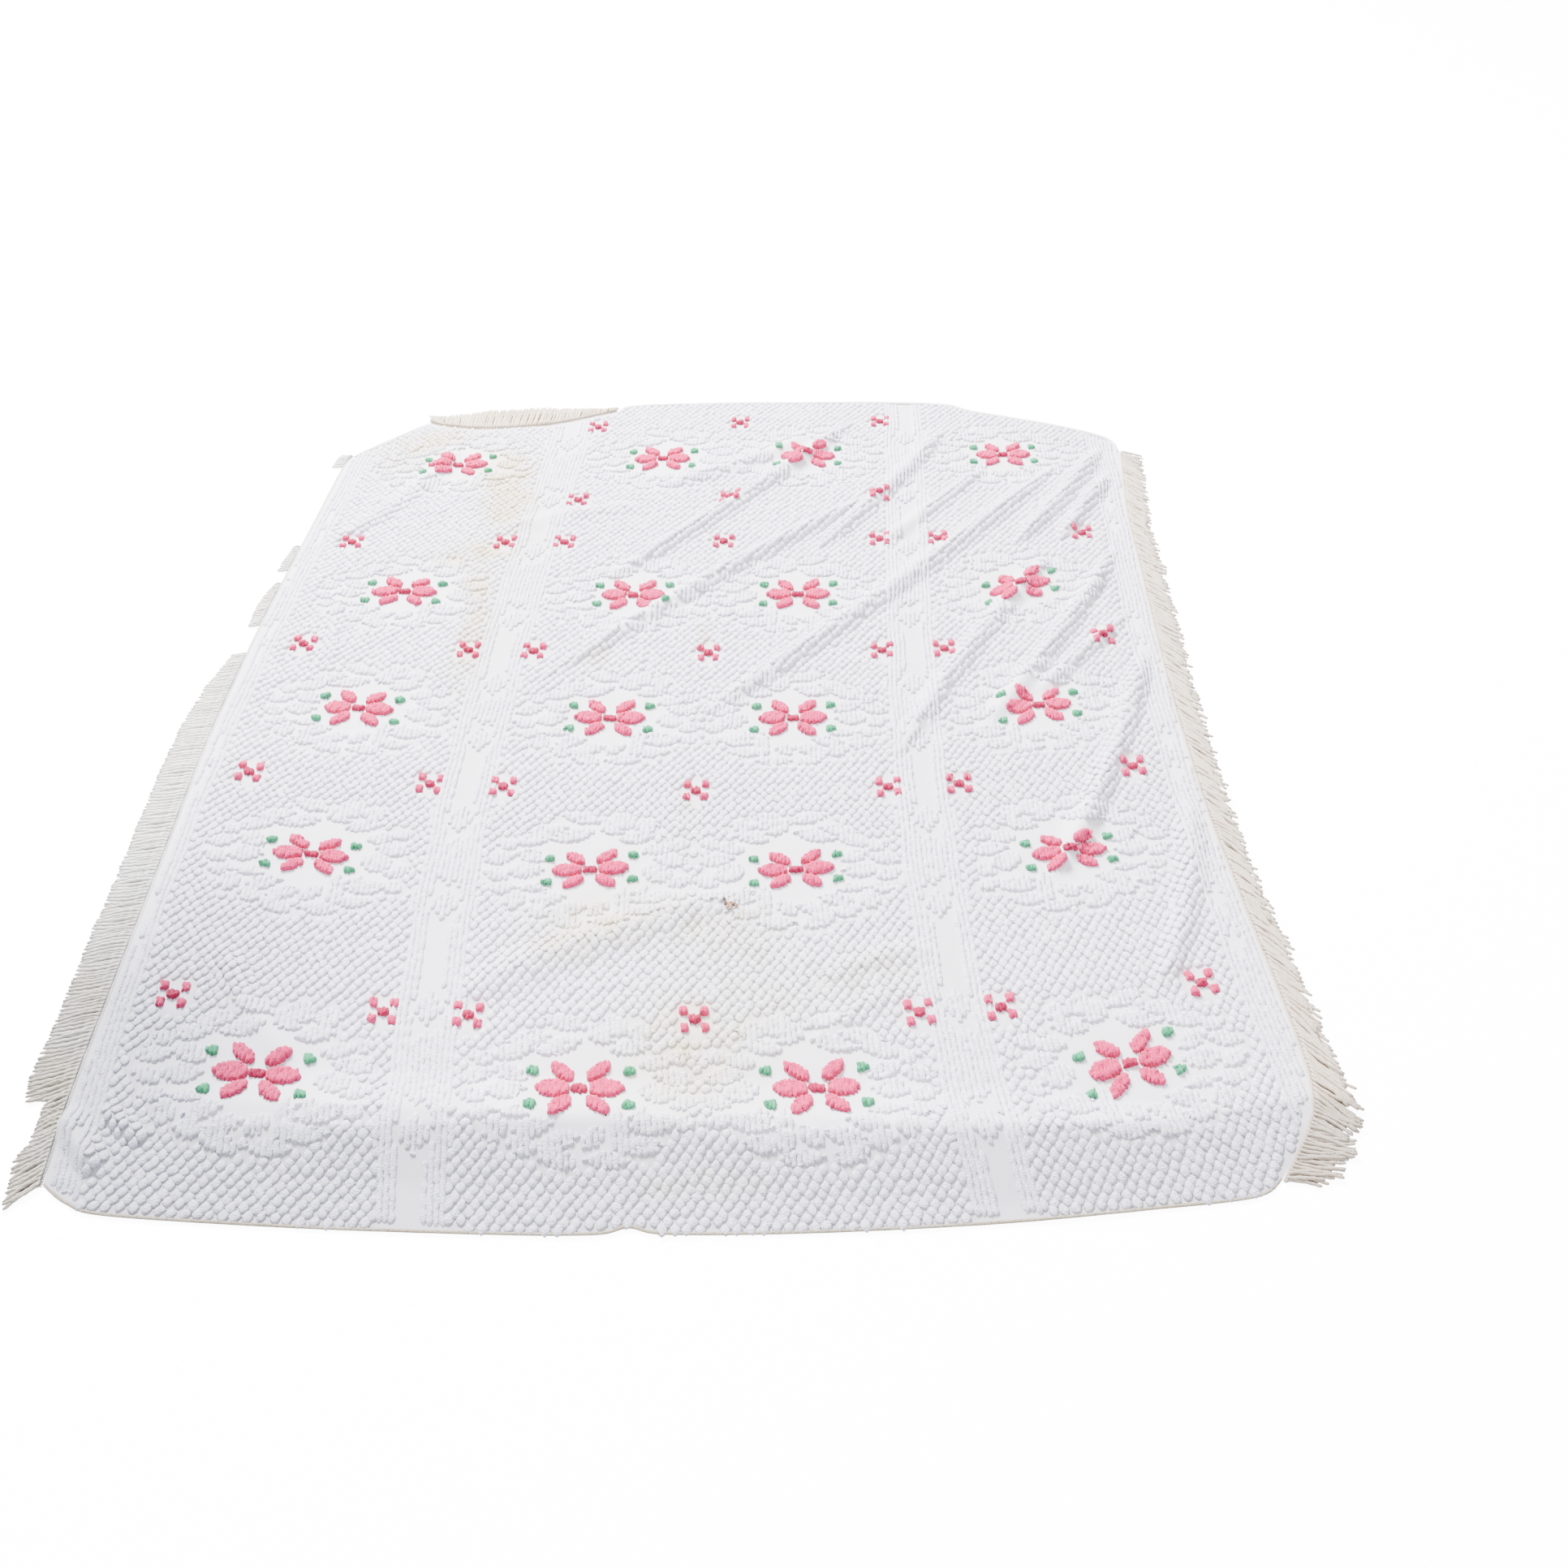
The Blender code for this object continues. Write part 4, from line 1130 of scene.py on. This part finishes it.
# %% Drawing an oval along an edge
def draw_along(name, line, half_width, half_height, material, lift, soiled=0.0):
    """A flat oval along a line, its middle lifted above the foot of the cloth, and slim at both ends."""
    heights = cloth_height(line[:, 0], line[:, 1]) - CLOTH_Z + lift
    from_end = np.minimum(np.arange(len(line)), np.arange(len(line))[::-1])
    girth = np.sqrt(np.clip(from_end / 4, 0.04, 1))
    oval = make_oval(name, half_width, half_height, 10)
    piece = draw_lines(name, [np.column_stack((line, heights, girth))], oval, material, True)
    mark_stains_and_shade(piece, soiled)
    return piece


def directions(line):
    """The unit direction of a line at each of its places."""
    run = np.gradient(line, axis=0)
    return run / np.linalg.norm(run, axis=1)[:, None]


def moved_in(line, distance):
    """A line of places moved to its left, into the cloth."""
    run = directions(line)
    return line + np.column_stack((-run[:, 1], run[:, 0])) * distance


SECTION_STEP = 0.008
STITCH_STEP = 0.0045
HEM_WIDTH, HEM_HALF_HEIGHT = 0.006, 0.0023
ROLL_HALF_WIDTH, ROLL_HALF_HEIGHT = 0.006, 0.0034
hem = draw_along("head_hem", moved_in(run_line("hem", SECTION_STEP), HEM_WIDTH / 2), HEM_WIDTH / 2,
                 HEM_HALF_HEIGHT, "worn hem", HEM_HALF_HEIGHT, soiled=0.5)
rolls = []
for side in ("right", "left"):
    inner_line = moved_in(run_line("rolled " + side, SECTION_STEP), ROLL_HALF_WIDTH)
    rolls.append(draw_along("rolled_edge_" + side, inner_line, ROLL_HALF_WIDTH, ROLL_HALF_HEIGHT,
                            "sheeting", ROLL_HALF_HEIGHT))

# %% [markdown]
# ## The hem's stitches
# A row of short stitches holds the hem down near its inner edge. A stitch is a small smooth tuft, copied.

# %% Stitches along a line
def sewn_along(name, line, height, turned, size, material):
    """Stitches at the places of a line, each turned from its direction. size is in metres."""
    run = np.gradient(line, axis=0)
    turns = np.column_stack((np.zeros((len(line), 2)), np.arctan2(run[:, 1], run[:, 0]) + turned))
    stitch = make_tuft("stitch", 6, 4, MATERIALS[material])
    places = np.column_stack((line + SHIFT, np.full(len(line), height)))
    piece = copy_on_points(name, stitch, places, turns, np.tile(size, (len(line), 1)))
    mark_stains_and_shade(piece)
    discard([stitch])
    print(name + ":", len(line), "stitches")
    return piece


stitches = sewn_along("hem_stitches", moved_in(run_line("hem", STITCH_STEP), HEM_WIDTH - 0.001), 0.0036, 0.0,
                      (0.0032, 0.0011, 0.0008), "sheeting")

# %% [markdown]
# ## Bullion fringe
# Each cord of the fringe is a loop that has twisted back on itself: two plies wound round each other. One is
# modelled as a rod, cut into rings by bisecting it. The rings are made oval and turned one after the other,
# which twists it, and it is bent a little, in three slightly different shapes. Copies hang from a braid all
# along the edge, each with its own length and lean from a short table.

# %% The fringe tables
FRINGE_OUTWARD = {"right fringe": 0, "foot fringe": 90, "left fringe": 180}
FRINGE_ROWS = {
    # rows of y (of x along the foot), a cord's length there, and its lean in degrees
    "right fringe": (
        (-1.240, 0.060, -4), (-1.215, 0.088, -7), (-1.165, 0.090, -9), (-1.145, 0.060, -12),
        (-1.125, 0.066, -38), (-1.070, 0.094, -44), (-1.000, 0.088, -49), (-0.860, 0.083, -52),
        (-0.680, 0.084, -51), (-0.500, 0.072, -49), (-0.200, 0.080, -51), (0.100, 0.084, -52),
        (0.400, 0.080, -49), (0.700, 0.078, -52), (0.900, 0.078, -50), (1.050, 0.060, -34)),
    "foot fringe": (
        (-0.935, 0.030, 12), (-0.860, 0.060, 6), (-0.740, 0.104, 0), (-0.590, 0.104, -4),
        (-0.490, 0.074, -5), (-0.400, 0.036, -6), (-0.340, 0.013, -8)),
    "left fringe": (
        (1.060, 0.030, 0), (0.995, 0.034, 6), (0.994, 0.000, 6), (0.601, 0.000, 10), (0.600, 0.020, 10),
        (0.500, 0.030, 14), (0.499, 0.000, 14), (0.441, 0.000, 14), (0.440, 0.018, 14),
        (0.360, 0.034, 14), (0.270, 0.030, 14), (0.269, 0.000, 14), (0.161, 0.000, 14),
        (0.160, 0.034, 14), (0.040, 0.063, 10), (-0.070, 0.075, 8), (-0.200, 0.080, 8),
        (-0.550, 0.081, 9), (-0.700, 0.085, 11), (-0.870, 0.082, 14), (-1.010, 0.088, 18),
        (-1.048, 0.084, 24), (-1.062, 0.042, 28), (-1.140, 0.046, 30), (-1.170, 0.066, 34),
        (-1.250, 0.062, 42)),
}
CORD_PITCH = 0.0045
CORD_WIDTH = 0.0084
CORD_TURNS = 2.2              # how often a cord's two plies wind round each other
CORD_RINGS = 10
CORD_FLATNESS = 0.76          # its section's height as a share of its width
CORD_DIP = 0.004              # how far it slopes down, in radians
SHORTEST_CORD = 0.012         # shorter ones aren't laid
MAT_INSET = 0.003             # how far the mat reaches in under the cloth
BRAID_WIDTH = 0.007

# %% One twisted cord, in three shapes
def make_cord(name, bend, droop, material):
    """A two-ply cord, one unit long and one unit wide, from the origin along x."""
    bpy.ops.object.select_all(action="DESELECT")
    bpy.ops.mesh.primitive_cylinder_add(vertices=6, radius=0.5, depth=1, end_fill_type="TRIFAN")
    bpy.ops.object.mode_set(mode="EDIT")
    for cut in range(1, CORD_RINGS):
        bpy.ops.mesh.select_all(action="SELECT")
        bpy.ops.mesh.bisect(plane_co=(0, 0, cut / CORD_RINGS - 0.5), plane_no=(0, 0, 1))
    bpy.ops.object.mode_set(mode="OBJECT")
    cord = bpy.context.object
    cord.name = name
    places = coordinates(cord)
    along = places[:, 2] + 0.5
    angle = along * CORD_TURNS * math.tau
    taper = 0.86 + 0.14 * np.sin(np.pi * np.clip(along, 0, 1)) - 0.2 * np.clip((along - 0.95) / 0.05, 0, 1)
    a, b = places[:, 0] * taper, places[:, 1] * CORD_FLATNESS * taper
    across = a * np.cos(angle) - b * np.sin(angle)
    up = a * np.sin(angle) + b * np.cos(angle)
    sideways = bend * np.sin(along * math.pi * 1.3)
    set_coordinates(cord, np.column_stack((along, across + sideways, up + droop * (1 - along) ** 2)))
    face_outward()
    bpy.ops.object.shade_smooth()
    cord.data.materials.append(MATERIALS[material])
    return cord


CORD_SHAPES = ((0.1, 0.1), (0.4, 0.2), (-0.4, 0.1))
CORDS = {tone: [make_cord(f"{tone}_{k}", *shape, tone) for k, shape in enumerate(CORD_SHAPES)]
         for tone in ("cream cord", "white cord")}
print("a cord has", triangles(CORDS["cream cord"][0]), "triangles")

# %% [markdown]
# The cords are laid at an even pitch, lean as the table says, and stray in loose clumps, as fringe does when
# a spread has been dragged into place.

# %% Laying the fringe
def at_place(rows, places):
    table = np.array(sorted(rows))
    return [np.interp(places, table[:, 0], table[:, k]) for k in (1, 2)]


def lay_mat(name, inner, outer, material):
    """A thin closed strip: the lower layers of the thick fringe, which show only between the upper cords,
    painted all over with the shade they lie in.
    """
    count = len(inner)
    corners = [np.column_stack((edge + SHIFT, np.full(count, height))) for edge, height in (
        (inner, 0.0004), (outer, 0.0004), (outer, 0.0010), (inner, 0.0024))]
    quads = [[4 * k + (a + 1) % 4, 4 * k + a, 4 * k + 4 + a, 4 * k + 4 + (a + 1) % 4]
             for k in range(count - 1) for a in range(4)]
    ends = [[0, 1, 2, 3], [4 * count - 1, 4 * count - 2, 4 * count - 3, 4 * count - 4]]
    mesh = bpy.data.meshes.new(name)
    mesh.from_pydata(np.stack(corners, axis=1).reshape(-1, 3).tolist(), [], quads + ends)
    mat = new_piece(name, mesh)
    select_only(mat)
    face_outward()
    mesh.materials.append(material)
    # painted shade: the whole mat gets the full tint of the pile's foot
    mark(mat, "foot", np.ones(4 * count))
    return mat


def lay_fringe(name, trim, tone, clumping, reach, soiled):
    """reach is the share of the cords' length with others beneath it. soiled is how dirty the cords are at
    the foot end of the spread, and at its head end."""
    line = run_line(trim, CORD_PITCH)
    run = directions(line)
    outward = np.column_stack((run[:, 1], -run[:, 0]))
    roots = line + outward * (BRAID_WIDTH * 0.7)
    count = len(roots)
    axis = 0 if trim == "foot fringe" else 1
    length, lean = at_place(FRINGE_ROWS[trim], roots[:, axis])
    number = np.arange(count)
    clump = clumping * np.sin(number * 0.45 + 2.2 * np.sin(number * 0.12))
    upper = number % 2
    lean = lean + clump * (1.5 * upper - 0.5) + CHANCE.normal(0, 0.3 + 0.2 * clumping, count)
    ragged = 0.012 + 0.002 * clumping
    uneven = np.sin(number * 0.35 + 1.3 * np.sin(number * 0.16)) + CHANCE.normal(0, 0.8, count)
    length = length * (1 + ragged * uneven)
    heading = np.radians(FRINGE_OUTWARD[trim] + lean)
    height = 0.0040 + (0.0016 + 0.0002 * clumping) * upper + 0.0008 * np.sin(number * 0.4)
    shown = length > SHORTEST_CORD
    kinds = CHANCE.integers(0, 3, count)
    reached = roots + reach * length[:, None] * np.column_stack((np.cos(heading), np.sin(heading)))
    places = np.column_stack((roots + SHIFT, height))
    turns = np.column_stack((np.zeros(count), np.full(count, CORD_DIP), heading))
    sizes = np.column_stack((length, np.full(count, CORD_WIDTH), np.full(count, CORD_WIDTH * 0.9)))
    found = np.flatnonzero(shown)
    pieces = []
    for stretch in np.split(found, np.flatnonzero(np.diff(found) > 1) + 1):
        inner = roots[stretch] - outward[stretch] * MAT_INSET
        pieces.append(lay_mat(name + "_mat", inner[::2], reached[stretch][::2], MATERIALS[tone]))
    for kind, cord in enumerate(CORDS[tone]):
        own = shown & (kinds == kind)
        if own.any():
            pieces.append(copy_on_points(f"{name}_{kind}", cord, places[own], turns[own], sizes[own]))
    fringe = joined(name, pieces)
    settle(fringe)
    mark_stains_and_shade(fringe, np.interp(coordinates(fringe)[:, 1], (-1.1, -0.6), soiled[::-1]))
    print(name + ":", int(shown.sum()), "cords,", triangles(fringe), "triangles")
    return fringe


fringe_right = lay_fringe("right_bullion_fringe", "right fringe", "cream cord", 8, 0.80, (0.1, 0.3))
fringe_foot = lay_fringe("foot_bullion_fringe", "foot fringe", "cream cord", 0.6, 0.90, (0.5, 0.5))
fringe_left = lay_fringe("left_bullion_fringe", "left fringe", "white cord", 0.5, 0.90, (0.1, 1.2))
discard(CORDS["cream cord"] + CORDS["white cord"])

# %% [markdown]
# ## The braid
# The cords hang from a narrow braid, a row of slanting stitches on a flat tape.

# %% The braid and its stitches
def make_braid(side, material):
    """The tape and its stitches along one fringe, just outside the cloth."""
    name, trim, inset = side + "_braid", side + " fringe", -BRAID_WIDTH * 0.45
    line = moved_in(run_line(trim, 0.010), inset)
    tape = draw_along(name, line, BRAID_WIDTH * 0.55, 0.0013, material, 0.0016)
    loops = sewn_along(name + "_stitches", moved_in(run_line(trim, STITCH_STEP), inset), 0.0022, 0.9,
                       (0.0082, 0.0036, 0.0022), material)
    return joined(name, [tape, loops])


braids = [make_braid(side, tone) for side, tone in (
    ("right", "cream cord"), ("foot", "cream cord"), ("left", "white cord"))]

# %% [markdown]
# ## Handing the pieces to the frame
# Each piece rides on the one body. The sheeting and the three fringes replace the imported solids, which are
# hidden.

white_all = [sheet, hem, stitches, *rolls, *white_pieces, *snag_pieces]
cream_all = [fringe_left, fringe_right, fringe_foot, *braids]
for piece in white_all + cream_all + pink_pieces + rose_pieces + mint_pieces:
    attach(piece, "root")
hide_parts("tufted_cloth")
for side, fringe in (("left", fringe_left), ("right", fringe_right), ("foot", fringe_foot)):
    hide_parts("fringe_" + side)
print("pieces:", len(white_all + cream_all + pink_pieces + rose_pieces + mint_pieces))

# %% [markdown]
# ## Floor, light and camera
# A plain pale floor, a wide soft light from the far left that models the folds, and a bright even sky. The
# camera stands at the head, looking down along the spread.

# %% The setting
bpy.ops.object.select_all(action="DESELECT")
bpy.ops.mesh.primitive_plane_add(size=24, location=(0, 0, -0.0005))
floor = bpy.context.object
floor.name = "floor"
paint = bpy.data.materials.new("pale floor")
paint.use_nodes = True
nodes, links = paint.node_tree.nodes, paint.node_tree.links
finish = nodes["Principled BSDF"]
set_inputs(finish, {"Base Color": (0.90, 0.90, 0.90, 1), "Roughness": 1.0, "Emission Color": (1, 1, 1, 1)})
brightness = nodes.new("ShaderNodeMath")
brightness.operation = "MULTIPLY"
brightness.inputs[1].default_value = 11.0
links.new(nodes.new("ShaderNodeLightPath").outputs["Is Camera Ray"], brightness.inputs[0])
links.new(brightness.outputs[0], finish.inputs["Emission Strength"])
floor.data.materials.append(paint)

world = bpy.data.worlds.new("soft sky")
bpy.context.scene.world = world
world.use_nodes = True
set_inputs(world.node_tree.nodes["Background"], {"Color": (1.0, 1.0, 1.0, 1), "Strength": 2.0})

LAMP_PLACE, LAMP_TARGET = Vector((-2.6, 5.0, 5.2)), Vector((0.1, 0, 0))
light = bpy.data.lights.new("key", "AREA")
light.shape = "RECTANGLE"
light.size, light.size_y = 2.4, 2.4
light.energy = 4200
light.color = (1.0, 0.99, 0.98)
lamp = new_piece("key", light)
lamp.location = LAMP_PLACE
lamp.rotation_euler = (LAMP_TARGET - LAMP_PLACE).to_track_quat("-Z", "Y").to_euler()

CAMERA_PLACE = (0.2154 + SHIFT[0], -2.1595 + SHIFT[1], 2.0476)
RIGHT, DOWN = (0.99993, 0.00311, -0.01175), (-0.00561, -0.73950, -0.67314)
AHEAD = (-0.01078, 0.67315, -0.73942)
lens = bpy.data.cameras.new("camera")
lens.lens = 28.0
lens.sensor_width = 36.0
camera = new_piece("camera", lens)
axes = Matrix([[RIGHT[k], -DOWN[k], -AHEAD[k]] for k in range(3)])
camera.matrix_world = Matrix.Translation(CAMERA_PLACE) @ axes.to_4x4()
bpy.context.scene.camera = camera
print("camera at", [round(value, 3) for value in CAMERA_PLACE])
